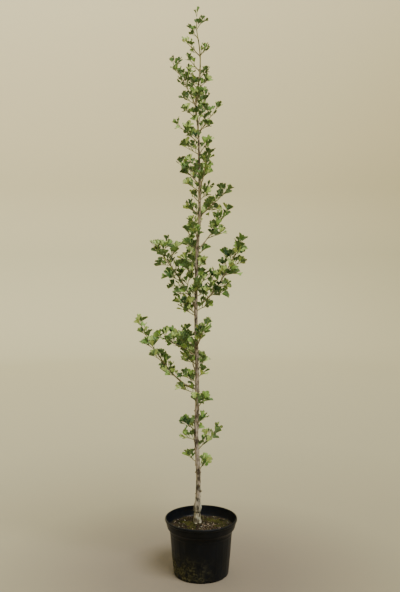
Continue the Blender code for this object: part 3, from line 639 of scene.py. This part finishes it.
# ---- Boughs and twigs ----
# Young limbs that zigzag a little from node to node, out by equal steps and up by a power of the
# way along. Each is one tapering shoot from the trunk into its foliage, with a ring at each node.

PATH_STEP = 0.0170
KINK = 0.0016
SHOOT_TIP_RADIUS = 0.0009
SHOOT_TAPER = 0.75
STEM_FIT = 0.92
LIMB_SIDES = 12
LIMB_STEPS = 6
YOUNG_RADIUS = 0.0010
OLDER_BY = 0.0022
NODE_BULGE = 0.16
NODE_REACH = 0.13


def shoot_course(start, heading, reach, rise, bend):
    """Nodes of a shoot: out by equal steps, up by way^bend, kinked to either side in turn."""
    angle = math.radians(heading)
    outward = np.array((math.cos(angle), math.sin(angle), 0.0))
    aside = np.array((-outward[1], outward[0], 0.0))
    steps = max(3, round(math.hypot(reach, rise) / PATH_STEP))
    way = np.linspace(0.0, 1.0, steps + 1)[:, None]
    kink = KINK * (-1.0) ** np.arange(steps + 1)[:, None] * np.minimum(1.0, 2 * way)
    kink[-1] = 0.0
    climb = rise * way**bend * (0.0, 0.0, 1.0)
    return start + reach * way * outward + climb + kink * aside


def shoot_radii(points, radius):
    """A power taper from the fork's radius to the shoot's tip."""
    left = 1.0 - np.linspace(0.0, 1.0, len(points))
    return SHOOT_TIP_RADIUS + (radius - SHOOT_TIP_RADIUS) * left**SHOOT_TAPER


def eased(points, radii, steps):
    """A Catmull-Rom curve through the nodes, with a small bulge of the radius at each of them."""
    ends = np.concatenate((points[:1], points, points[-1:]))
    share = np.linspace(0.0, 1.0, steps, endpoint=False)[None, :, None]
    a, b, c, d = (ends[i:len(ends) - 3 + i, None] for i in range(4))
    curve = 0.5 * (2 * b + (c - a) * share + (2 * a - 5 * b + 4 * c - d) * share**2
                   + (3 * b - a - 3 * c + d) * share**3)
    curve = np.concatenate((curve.reshape(-1, 3), points[-1:]))
    at = np.linspace(0.0, len(points) - 1.0, len(curve))
    wide = np.interp(at, np.arange(len(points)), radii)
    near = np.abs(at - np.round(at))
    return curve, wide * (1.0 + NODE_BULGE * np.exp(-((near / NODE_REACH) ** 2)))


# Finer twigs between the shoots, by the same six numbers
FINE_RADIUS = 0.0017
FINE_TWIGS = (
    (370, 200, 30, 26, 1, 5), (520, 180, 50, 20, 1, 5), (540, 152, 26, 30, 1, 5),
    (656, 188, 34, 20, 2, 4), (680, 168, 52, 28, 2, 5), (892, 172, 34, 22, 1, 5), (948, 8, 44, 28, 2, 5),
    (990, 184, 40, 26, 2, 5), (1008, -40, 18, 20, 1, 4), (1060, 18, 22, 22, 1, 5),
    (1220, 186, 30, 26, 2, 5), (1275, -10, 18, 20, 1, 4), (1372, 172, 44, 28, 2, 5),
    (1412, 24, 30, 22, 1, 5), (1510, 172, 30, 20, 1, 5), (1590, 158, 36, 24, 2, 5),
    (1638, 196, 34, 20, 1, 6), (1654, 12, 20, 22, 1, 5), (1682, 166, 34, 52, 2, 6),
    (1694, 186, 24, 36, 1, 6), (828, 188, 36, 22, 2, 5), (840, 172, 56, 34, 2, 5),
    (848, -6, 36, 20, 2, 5), (905, 14, 34, 14, 1, 5), (1470, 186, 40, 12, 1, 5), (580, 8, 16, 20, 1, 5),
    (1395, 180, 30, 24, 1, 6), (360, 84, 34, 30, 1, 5), (470, -96, 36, 32, 1, 5), (622, 82, 50, 36, 2, 5),
    (900, -84, 60, 50, 2, 5), (1010, 96, 50, 40, 2, 5), (1180, 80, 46, 36, 2, 5),
    (1360, 98, 44, 36, 2, 5), (1560, -96, 32, 34, 1, 5), (1640, 92, 34, 30, 1, 5),
    (1700, 0, 24, 20, 1, 5), (1540, -12, 34, 18, 1, 5), (640, 190, 30, 12, 1, 4),
)
# Side twigs on the boughs: bough, then hundredths of its way and the same five numbers for each
SIDE_TWIGS = (
    ("big_right", (30, 160, 36, 32, 2, 4), (46, 130, 32, 50, 2, 5), (58, -30, 34, 40, 2, 5),
     (68, 100, 24, 52, 2, 5), (80, -10, 26, 40, 2, 5)),
    ("big_left", (24, 60, 26, 50, 2, 5), (34, 205, 40, 22, 2, 4), (46, 30, 34, 42, 2, 5),
     (62, 80, 26, 52, 2, 5), (76, 190, 24, 44, 2, 5)),
    ("mid_left", (30, 130, 30, 34, 2, 5), (44, 250, 24, 30, 2, 5), (62, 120, 22, 30, 1, 5)),
    ("upper_left", (50, 30, 24, 40, 2, 5)),
    ("big_left", (84, 60, 22, 46, 2, 5), (70, 20, 30, 50, 2, 6)),
    ("upper_left", (30, 60, 20, 40, 2, 5)),
    ("big_right", (36, -10, 28, 2, 1, 5), (50, -14, 26, 6, 1, 6), (64, -20, 30, 8, 1, 6),
     (76, 4, 30, 8, 1, 6), (88, -20, 14, 12, 1, 5)),
    ("big_left", (18, 196, 34, 2, 1, 6), (32, 176, 32, -2, 1, 6), (48, 196, 24, -2, 1, 6),
     (66, 174, 28, 2, 1, 5)),
    ("low_left", (42, 188, 28, 14, 1, 5), (58, 200, 26, 20, 1, 5), (74, 188, 22, 16, 1, 5)),
    ("right_shoulder", (40, 8, 44, 16, 1, 5)),
    ("high_right", (40, 30, 22, -4, 1, 5)),
)

shoots = list(BOUGHS)
for kind, table in (("twig", TWIGS), ("spur", TRUNK_SPURS), ("fine", FINE_TWIGS)):
    for index, (fork, heading, reach, rise, spurs, leaves) in enumerate(table):
        fork, reach, rise = fork / 1000, reach / 1000, rise / 1000
        radius = min(FINE_RADIUS if kind == "fine" else TWIG_RADIUS, float(trunk_radius(fork)) * STEM_FIT)
        name = f"{kind}_{index + 1:02d}"
        shoots.append((name, fork, heading, reach, rise, 1.0, radius, 0.0, spurs, leaves))
courses = {}
for name, fork, heading, reach, rise, bend, radius, _, _, _ in shoots:
    courses[name] = (shoot_course(trunk_line(fork), heading, reach, rise, bend), radius)
side_twigs = [(bough, *row) for bough, *rows in SIDE_TWIGS for row in rows]
for index, (bough, way, heading, reach, rise, spurs, leaves) in enumerate(side_twigs):
    reach, rise = reach / 1000, rise / 1000
    nodes = courses[bough][0]
    start = nodes[round(way / 100 * (len(nodes) - 1))]
    name = f"side_{index + 1:02d}"
    shoots.append((name, start[2] - SOIL_TOP, heading, reach, rise, 1.0, FINE_RADIUS, 0.0, spurs, leaves))
    courses[name] = (shoot_course(start, heading, reach, rise, 1.0), FINE_RADIUS)

limb_corners = []
limb_faces = []
limb_trees = []
limb_youth = []
for name, (nodes, radius) in courses.items():
    curve, wide = eased(nodes, shoot_radii(nodes, radius), LIMB_STEPS)
    across = np.cross(nodes[-1] - nodes[0], (0.3, 0.2, 1.0))[None]
    rings = tube_corners(curve[None], wide[None], LIMB_SIDES, across)
    limb_faces += closed_faces(len(curve), LIMB_SIDES, sum(map(len, limb_corners)))
    limb_corners.append(rings.reshape(-1, 3))
    youth = np.clip(1.0 - (wide - YOUNG_RADIUS) / OLDER_BY, 0.0, 1.0)
    limb_youth.append(np.repeat(youth, LIMB_SIDES))
    limb_trees.append((name, limb_corners[-1], ring_quads(len(curve), LIMB_SIDES)))

limb_finish, tree = new_finish("young_bark", 0.75, 0.3)
fibre = grain(tree, 75.0, (1.0, 1.0, 0.5), 4.0)
wood = tone(tree, fibre, (
    (0.30, (0.130, 0.105, 0.062)), (0.50, (0.240, 0.200, 0.120)), (0.70, (0.350, 0.305, 0.190))))
age = tree.nodes.new("ShaderNodeAttribute")
age.attribute_name = "youth"
green_wood = tone(tree, fibre, ((0.35, (0.130, 0.150, 0.055)), (0.65, (0.240, 0.265, 0.105))))
young = span(tree, age.outputs["Fac"], 0.35, 1.0, 0.0, 0.85)
paint(tree, blend(tree, young, wood, green_wood))
relief(tree, grain(tree, 700.0, (1.0, 1.0, 0.4), 3.0), 0.0005)
limbs = new_piece("boughs_and_twigs", np.concatenate(limb_corners), limb_faces, limb_finish, 60.0)
bough_nodes = ["bough_" + row[0] for row in BOUGHS]
own_shoots = len(BOUGHS) + len(TWIGS) + len(TRUNK_SPURS)
foliage_nodes = ["foliage_" + row[0] for row in shoots[:own_shoots]] + ["foliage_leader"]
limbs.data.attributes.new("youth", "FLOAT", "POINT").data.foreach_set(
    "value", np.concatenate(limb_youth).astype(np.float32))
settle(limbs, "bough_bark", *bough_nodes)

# ---- Foliage ----
# Short knobbly spurs stand at even steps on every shoot, turned by the golden angle, and each ends
# in a rosette of fan-shaped leaves on thin stalks. Between the spurs single leaves grow from the
# shoot's own nodes. The leaves are a little smaller towards the top of the tree.

SPUR_LENGTH = (0.006, 0.013)
BUD_LENGTH = 0.0050
SPUR_FORWARD = 0.50
SPUR_LIFT = 0.75
SPUR_JITTER = 0.40
GOLDEN_TURN = math.radians(137.5)
LEADER_LENGTH = 0.012
LEADER_LEAVES = 5
LEAF_LENGTH = (0.024, 0.032)
TOP_SHRINK = 0.34
TOP_SHRINK_POWER = 2.0
STALK_LENGTH = (0.005, 0.015)
STALK_SINK = 0.0030
STALK_SPREAD = (8.0, 48.0)
STALK_LIFT = 0.45
STALK_JITTER = 0.50
BLADE_LIFT = (0.10, 0.80)
BLADE_JITTER = 0.24
FACE_UP = (-0.10, 0.90)
FACE_OUT = (-0.90, 0.90)
FACE_JITTER = 0.70
EDGE_ON = 0.92
TEST_RIM = ((-40.0, 0.89), (-19.0, 1.00), (0.0, 0.79), (19.0, 1.00), (40.0, 0.89))
TEST_FACES = (
    (0, 1, 2), (1, 0, 3, 4), (2, 1, 4, 5), (0, 2, 5, 3), (4, 3, 6), (3, 5, 10),
    (3, 10, 9), (3, 9, 8), (3, 8, 7), (3, 7, 6),
    (4, 6, 7), (4, 7, 8), (4, 8, 5), (5, 8, 9), (5, 9, 10),
)
TEST_STALK = 0.0014
TEST_MARGIN = 0.0004
TEST_CUP = 0.16
FOOT_SHARE = 0.45
ROOM = 0.075
TRIES = 12
SEED = 4100
UP = Vector((0.0, 0.0, 1.0))

grown = []
grown_balls = np.zeros((6000, 4))


def ball(corners):
    """The middle of some corners and the distance to the farthest of them."""
    middle = np.mean(corners, axis=0)
    return middle, np.linalg.norm(corners - middle, axis=1).max()


def add_grown(owner, corners, whole, outer=None):
    """Keep a piece of the plant with its bounding ball, so that a new leaf can be held against it."""
    middle, reach = ball(corners)
    grown_balls[len(grown)] = (*middle, reach)
    grown.append((owner, whole, outer or whole))


def is_free(owner, corners, whole, outer=None):
    """No face meets another shoot's pieces or, if the outer part is given, a leaf of its own."""
    middle, reach = ball(corners)
    balls = grown_balls[:len(grown)]
    apart = np.linalg.norm(balls[:, :3] - middle, axis=1)
    for near in np.flatnonzero(apart <= balls[:, 3] + reach):
        other, other_whole, other_outer = grown[near]
        if other == owner:
            if outer and outer.overlap(other_outer):
                return False
        elif whole.overlap(other_whole):
            return False
    return True


def leaf_skin(leaf, stalk_from=0.0, room=1.0):
    """A few-cornered stand-in for one leaf, used only to keep leaves clear of each other."""
    root, knee, along, up, length = leaf[:5]
    length = length * room
    root = root.lerp(knee, stalk_from)
    along = along.normalized()
    right = along.cross(up).normalized()
    top = right.cross(along)
    stalk = (knee - root).normalized()
    stalk_right = (right - right.dot(stalk) * stalk).normalized()
    stalk_top = stalk_right.cross(stalk)
    corners = []
    for centre in (root, knee):
        for turn in (90.0, 210.0, 330.0):
            angle = math.radians(turn)
            corners.append(centre + TEST_STALK * (
                math.cos(angle) * stalk_right + math.sin(angle) * stalk_top))
    for degrees, share in TEST_RIM:
        angle = math.radians(degrees)
        arm = math.cos(angle) * along + math.sin(angle) * right
        lift = TEST_CUP * length * math.sin(angle) ** 2
        corners.append(knee + arm * (length * share + TEST_MARGIN) + top * lift)
    return np.array(corners), BVHTree.FromPolygons(corners, TEST_FACES)


def random_turn(rng, amount):
    """A vector drawn evenly from a cube of the given half side."""
    return Vector([rng.uniform(-amount, amount) for _ in range(3)])


def drawn_leaf(rng, tip, axis, turn, size):
    """One leaf by the rosette rule: stalk cos s axis + sin s ring + lift, its blade lifted further."""
    side = axis.orthogonal().normalized()
    ring = (side * math.cos(turn) + axis.cross(side) * math.sin(turn)).normalized()
    spread = math.radians(rng.uniform(*STALK_SPREAD))
    stalk = axis * math.cos(spread) + ring * math.sin(spread) + UP * STALK_LIFT
    stalk = stalk.normalized()
    stalk_length = rng.uniform(*STALK_LENGTH)
    root = tip - axis * STALK_SINK
    knee = tip + stalk * stalk_length
    along = (stalk + UP * rng.uniform(*BLADE_LIFT) + random_turn(rng, BLADE_JITTER)).normalized()
    facing = UP * rng.uniform(*FACE_UP) + ring * rng.uniform(*FACE_OUT)
    facing = facing + random_turn(rng, FACE_JITTER)
    if abs(facing.normalized().dot(along)) > EDGE_ON:
        facing = facing + axis.cross(ring)
    return root, knee, along, facing, size * rng.uniform(*LEAF_LENGTH)


def try_leaf(rng, owner, stem, tip, axis, turn, size, leaves, spray, room=1.0):
    """Draw a leaf until one finds free room near its own shoot; it is skipped after a few tries."""
    for _ in range(TRIES):
        leaf = drawn_leaf(rng, tip, axis, turn(), size)
        corners, whole = leaf_skin(leaf, 0.0, room)
        if min((Vector(corners[8]) - spot).length for spot in stem) > ROOM:
            continue
        outer = leaf_skin(leaf, FOOT_SHARE, room)[1]
        if is_free(owner, corners, whole, outer):
            add_grown(owner, corners, whole, outer)
            leaves.append((*leaf, spray))
            return


for name, corners, faces in limb_trees:
    add_grown(name, corners, BVHTree.FromPolygons(corners.tolist(), faces.tolist()))
# A coarse trunk, in overlapping lengths of eight rings
COARSE_RINGS = 120
COARSE_SIDES = 10
coarse_at = np.linspace(0.0, TRUNK_HEIGHT, COARSE_RINGS)
coarse = tube_corners(
    trunk_line(coarse_at)[None], trunk_radius(coarse_at)[None], COARSE_SIDES, SIDEWAYS).reshape(-1, 3)
for start in range(0, COARSE_RINGS - 1, 7):
    part = coarse[start * COARSE_SIDES:(start + 8) * COARSE_SIDES]
    faces = ring_quads(len(part) // COARSE_SIDES, COARSE_SIDES)
    add_grown("trunk", part, BVHTree.FromPolygons(part.tolist(), faces.tolist()))


def spur_axis(rng, forward, index):
    """Out of the shoot, turned by the golden angle and a jitter, then leaned forward and lifted."""
    side = forward.orthogonal().normalized()
    turn = index * GOLDEN_TURN + rng.uniform(-SPUR_JITTER, SPUR_JITTER)
    ring = side * math.cos(turn) + forward.cross(side) * math.sin(turn)
    return (ring + forward * SPUR_FORWARD + UP * SPUR_LIFT).normalized()


leaves = []
spur_ends = []
rosettes = []
top = Vector(trunk_line(TRUNK_HEIGHT))
forward = (top - Vector(trunk_line(TRUNK_HEIGHT - 0.055))).normalized()
leader = [top + forward * GAP, top + forward * LEADER_LENGTH]
rows = [(name, fork, [Vector(spot) for spot in courses[name][0]], bare, spurs, count)
        for name, fork, _, _, _, _, _, bare, spurs, count in shoots]
rows.insert(own_shoots, ("leader", TRUNK_HEIGHT, leader, 0.0, 1, LEADER_LEAVES))
spray = 0
for index, (name, fork, nodes, bare, spurs, count) in enumerate(rows):
    rng = random.Random(SEED + index)
    size = 1.0 - TOP_SHRINK * (fork / TRUNK_HEIGHT) ** TOP_SHRINK_POWER
    stem = nodes
    if bare:
        split = max(1, min(len(nodes) - 3, round(bare * (len(nodes) - 1))))
        stem = [(nodes[split] + nodes[split + 1]) / 2] + nodes[split + 1:]
    last = len(stem) - 1
    for spur in range(spurs):
        spot = min(last, max(1, round((spur + 1) / spurs * last)))
        forward = (stem[spot] - stem[spot - 1]).normalized()
        axis = forward
        start = stem[last] - forward * BUD_LENGTH / 2
        tip = stem[last] + forward * BUD_LENGTH / 2
        if spur < spurs - 1:
            axis = spur_axis(rng, forward, spur)
            start = stem[spot]
            tip = start + axis * rng.uniform(*SPUR_LENGTH)
        spur_ends.append((start, tip, size))
        first = rng.uniform(0.0, math.tau)
        for leaf in range(count):
            try_leaf(rng, name, stem, tip, axis, lambda: (
                first + leaf * GOLDEN_TURN + rng.uniform(-STALK_JITTER, STALK_JITTER)),
                size, leaves, spray)
        rosettes.append((name, stem, tip, axis, size, spray))
        spray += 1

# A few more leaves crowd into every rosette, then single ones grow from the nodes between the spurs
CROWD_SEED = 8800
CROWD = 6
CROWD_SIZE = (0.80, 1.08)
CROWD_ROOM = 0.80
for index, (name, stem, tip, axis, size, own) in enumerate(rosettes):
    rng = random.Random(CROWD_SEED + index)
    for _ in range(CROWD):
        try_leaf(rng, name, stem, tip, axis, lambda: rng.uniform(0.0, math.tau),
                 size * rng.uniform(*CROWD_SIZE), leaves, own, CROWD_ROOM)
SINGLE_SEED = 7300
SINGLE_SIZE = (0.75, 1.05)
SINGLES = 4
SINGLE_OUT = 0.003
for index, (name, fork, nodes, bare, spurs, count) in enumerate(rows):
    rng = random.Random(SINGLE_SEED + index)
    size = 1.0 - TOP_SHRINK * (fork / TRUNK_HEIGHT) ** TOP_SHRINK_POWER
    start = max(1, round(bare * (len(nodes) - 1)))
    for spot in range(start, len(nodes) - 1):
        axis = spur_axis(rng, (nodes[spot + 1] - nodes[spot]).normalized(), spot)
        tip = nodes[spot] + axis * SINGLE_OUT
        for _ in range(SINGLES):
            try_leaf(rng, name, nodes, tip, axis, lambda: rng.uniform(0.0, math.tau),
                     size * rng.uniform(*SINGLE_SIZE), leaves, spray, CROWD_ROOM)
        spray += 1

# Bare stubs and knots stand all the way up the trunk, turned by the golden angle
STUBS = 52
STUB_FOOT = 0.10
STUB_SPAN = 1.66
STUB_OUT = 0.0016
STUB_RISE = 0.002
KNOTS = ((0.128, 8, 2.6), (0.116, 150, 1.6), (0.152, -60, 1.7), (0.205, 172, 2.0), (0.236, 30, 1.6),
         (0.300, 190, 1.8), (0.452, 160, 2.0), (0.530, -20, 1.6), (0.640, 170, 1.8), (0.690, 20, 1.5))
stub_draw = random.Random(8300)
stubs = [(STUB_FOOT + STUB_SPAN * (index + stub_draw.uniform(0.2, 0.8)) / STUBS,
          math.degrees(index * GOLDEN_TURN), stub_draw.uniform(0.9, 1.5)) for index in range(STUBS)]
for height, heading, size in [*stubs, *KNOTS]:
    outward = Vector((math.cos(math.radians(heading)), math.sin(math.radians(heading)), 0.0))
    middle = Vector(trunk_line(height))
    radius = float(trunk_radius(height))
    tip = middle + outward * (radius + STUB_OUT * size) + UP * STUB_RISE
    spur_ends.append((middle + outward * radius * 0.4, tip, size))

# Spurs: a knobbly tube whose rings are old leaf scars, r (1 + 0.12 (-1)^i), closed by a round bud
SPUR_RINGS = 8
SPUR_SIDES = 8
starts, tips, sizes = map(np.array, zip(*spur_ends))
share = np.linspace(0.0, 1.0, SPUR_RINGS)
paths = starts[:, None] + (tips - starts)[:, None] * share[None, :, None]
rings = 0.0013 + 0.0008 * share
rings = rings * (1.0 + 0.12 * (-1.0) ** np.arange(SPUR_RINGS))
rings[-1] = 0.0009
aside = np.cross(tips - starts, (0.31, 0.57, 0.11))
spur_corners = tube_corners(paths, rings[None] * sizes[:, None], SPUR_SIDES, aside)
spur_finish, tree = new_finish("scarred_spur", 0.8, 0.25)
paint(tree, tone(tree, grain(tree, 320.0), (
    (0.30, (0.080, 0.060, 0.030)), (0.70, (0.230, 0.190, 0.100)))))
relief(tree, grain(tree, 900.0), 0.0004)
spur_faces = tube_faces(len(starts), SPUR_RINGS, SPUR_SIDES)
settle(new_piece("leaf_spurs", spur_corners, spur_faces, spur_finish, 60.0), "bough_bark", *foliage_nodes)

# Leaf stalks: a slender tube on a bent line, r from thick to thin, that runs on into its blade
STALK_POINTS = 6
STALK_SIDES = 5
STALK_INTO_BLADE = 0.0025
roots, knees, alongs, ups, lengths, sprays = map(np.array, zip(*leaves))
alongs /= np.linalg.norm(alongs, axis=1, keepdims=True)
share = np.linspace(0.0, 1.0, STALK_POINTS)[None, :, None]
ends = knees + alongs * STALK_INTO_BLADE
bends = (roots + knees) / 2 + (0.0, 0.0, 0.0006)
bends = (bends + knees - alongs * np.linalg.norm(knees - roots, axis=1, keepdims=True) * 0.35) / 2
paths = (1 - share) ** 2 * roots[:, None] + 2 * share * (1 - share) * bends[:, None]
paths = paths + share**2 * ends[:, None]
wide = np.linspace(0.00075, 0.00050, STALK_POINTS)[None] * (lengths / 0.024)[:, None]
stalk_corners = tube_corners(paths, wide, STALK_SIDES, np.cross(alongs, ups))
stalk_finish, tree = new_finish("leaf_stalk", 0.5, 0.4)
paint(tree, tone(tree, grain(tree, 90.0), (
    (0.30, (0.110, 0.150, 0.040)), (0.70, (0.240, 0.280, 0.090)))))
relief(tree, grain(tree, 1200.0), 0.0002)
stalk_faces = tube_faces(len(leaves), STALK_POINTS, STALK_SIDES)
stalks = new_piece("leaf_stalks", stalk_corners, stalk_faces, stalk_finish, 60.0)
settle(stalks, "leaf_green", *foliage_nodes)

# Blades: a fan of the angle a = A u and the way v, with r = v L (1 - n exp(-(u / w)^2) - k u^2)
# times a wavy rim, folded up along its middle, cupped, and curled down towards the rim. Each blade
# is a closed thin lens: its upper and under sides share their rim and part by its thickness.
BLADE_ACROSS = np.array((-1.0, -0.74, -0.46, -0.16, 0.0, 0.16, 0.46, 0.74, 1.0))
BLADE_OUT = np.array((0.04, 0.38, 0.74, 1.0))
BLADE_THICKNESS = 0.00032
blade_draw = np.random.default_rng(61)


def blade_corners(knees, alongs, ups, lengths):
    """Corners of every blade: its upper grid, then the inner corners of its underside."""
    count = len(knees)
    draw = blade_draw.uniform
    rights = np.cross(alongs, ups)
    rights /= np.linalg.norm(rights, axis=1, keepdims=True)
    tops = np.cross(rights, alongs)
    half = np.radians(np.clip(blade_draw.normal(34.0, 6.0, (count, 1, 1)), 22.0, 47.0))
    notch = draw(0.12, 0.48, (count, 1, 1))
    fold = draw(0.05, 0.55, (count, 1, 1))
    cup = draw(0.00, 0.25, (count, 1, 1))
    droop = draw(-0.05, 0.34, (count, 1, 1))
    wave = draw(0.02, 0.09, (count, 1, 1))
    phase = draw(0.0, math.tau, (count, 1, 1))
    ragged = draw(-0.095, 0.095, (count, 1, len(BLADE_ACROSS)))
    skew = draw(-0.14, 0.14, (count, 1, 1))
    u = BLADE_ACROSS[None, None, :]
    v = BLADE_OUT[None, :, None]
    length = lengths[:, None, None]
    rim = 1.0 - notch * np.exp(-((u / 0.17) ** 2)) - 0.03 * u**2 + skew * u + ragged
    r = v * length * (1.0 + (rim - 1.0) * v**2)
    angle = half * u
    x = r * np.cos(angle)
    y = r * np.sin(angle)
    z = r * (fold * np.abs(np.sin(angle)) + cup * np.sin(angle) ** 2)
    z = z - droop * length * v**2 + wave * length * v**2 * np.sin(3.0 * math.pi * u + phase)
    grid = (knees[:, None, None] + x[..., None] * alongs[:, None, None]
            + y[..., None] * rights[:, None, None] + z[..., None] * tops[:, None, None])
    inner = grid[:, 1:-1, 1:-1] - BLADE_THICKNESS / 2 * tops[:, None, None]
    grid[:, 1:-1, 1:-1] += BLADE_THICKNESS / 2 * tops[:, None, None]
    return np.concatenate((grid.reshape(count, -1, 3), inner.reshape(count, -1, 3)), axis=1)


def blade_faces(count):
    """Quads of every blade's upper side, then as many of its underside; the two share the rim."""
    out = len(BLADE_OUT)
    across = len(BLADE_ACROSS)
    upper = np.arange(out * across).reshape(out, across)
    under = upper.copy()
    under[1:-1, 1:-1] = out * across + np.arange((out - 2) * (across - 2)).reshape(out - 2, across - 2)

    def quads(grid):
        parts = (grid[:-1, :-1], grid[1:, :-1], grid[1:, 1:], grid[:-1, 1:])
        return np.stack(parts, axis=-1).reshape(-1, 4)

    each = out * across + (out - 2) * (across - 2)
    first = np.arange(count)[:, None, None] * each
    return np.concatenate([(part[None] + first).reshape(-1, 4) for part in (
        quads(upper)[:, ::-1], quads(under))])


def leaf_finish(name, deep, fresh, roughness):
    """A leaf green that wanders between two near tones, with fine ribs fanning out from the stalk."""
    finish, tree = new_finish(name, roughness, 0.28)
    paint(tree, tone(tree, grain(tree, 130.0), ((0.32, deep), (0.68, fresh))))
    fan = tree.nodes.new("ShaderNodeTexCoord").outputs["UV"]
    ribs = tree.nodes.new("ShaderNodeTexWave")
    ribs.inputs["Scale"].default_value = 11.0
    ribs.inputs["Distortion"].default_value = 0.6
    tree.links.new(fan, ribs.inputs["Vector"])
    relief(tree, ribs.outputs["Fac"], 0.00012)
    return finish


under_finish = leaf_finish("leaf_underside", (0.120, 0.195, 0.070), (0.170, 0.260, 0.098), 0.75)
# Greens from sunlit to shaded, partly the leaves' own tones and partly painted light: the
# bright greens are painted sunlight, the deep and dark ones painted shade. Share of the sprays,
# deep tone, fresh tone
TINTS = (
    ("leaves_bright", 0.44, (0.390, 0.530, 0.145), (0.560, 0.690, 0.230)),
    ("leaves_fresh", 0.26, (0.215, 0.355, 0.072), (0.300, 0.460, 0.108)),
    ("leaves_green", 0.12, (0.092, 0.184, 0.032), (0.132, 0.248, 0.048)),
    ("leaves_deep", 0.10, (0.042, 0.094, 0.018), (0.064, 0.134, 0.026)),
    ("leaves_dark", 0.08, (0.018, 0.048, 0.013), (0.028, 0.068, 0.020)),
)
tint_draw = np.random.default_rng(71)
edges = np.cumsum([row[1] for row in TINTS])
spray_tint = np.searchsorted(edges, tint_draw.uniform(0.0, 1.0, sprays.max() + 1) * edges[-1])
own_tint = spray_tint[sprays] + tint_draw.choice((-1, 0, 0, 1), len(sprays))
own_tint = np.clip(own_tint, 0, len(TINTS) - 1)
# Each blade's own place in its fan: across and out, from 0 to 1
fan_grid = np.stack(np.meshgrid((BLADE_ACROSS + 1) / 2, BLADE_OUT), axis=-1)
fan = np.concatenate((fan_grid.reshape(-1, 2), fan_grid[1:-1, 1:-1].reshape(-1, 2)))
for index, (name, _, deep, fresh) in enumerate(TINTS):
    chosen = own_tint == index
    count = int(chosen.sum())
    corners = blade_corners(knees[chosen], alongs[chosen], ups[chosen], lengths[chosen])
    faces = blade_faces(count)
    finish = leaf_finish(name.replace("leaves", "leaf"), deep, fresh, 0.52)
    piece = new_piece(name, corners, faces.tolist(), finish, 70.0)
    piece.data.materials.append(under_finish)
    piece.data.polygons.foreach_set(
        "material_index", np.repeat((0, 1), len(faces) // 2).astype(np.int32))
    spread = np.tile(fan, (count, 1))[faces.ravel()]
    piece.data.uv_layers.new(name="leaf_fan").data.foreach_set("uv", spread.astype(np.float32).ravel())
    settle(piece, "leaf_green", *foliage_nodes)
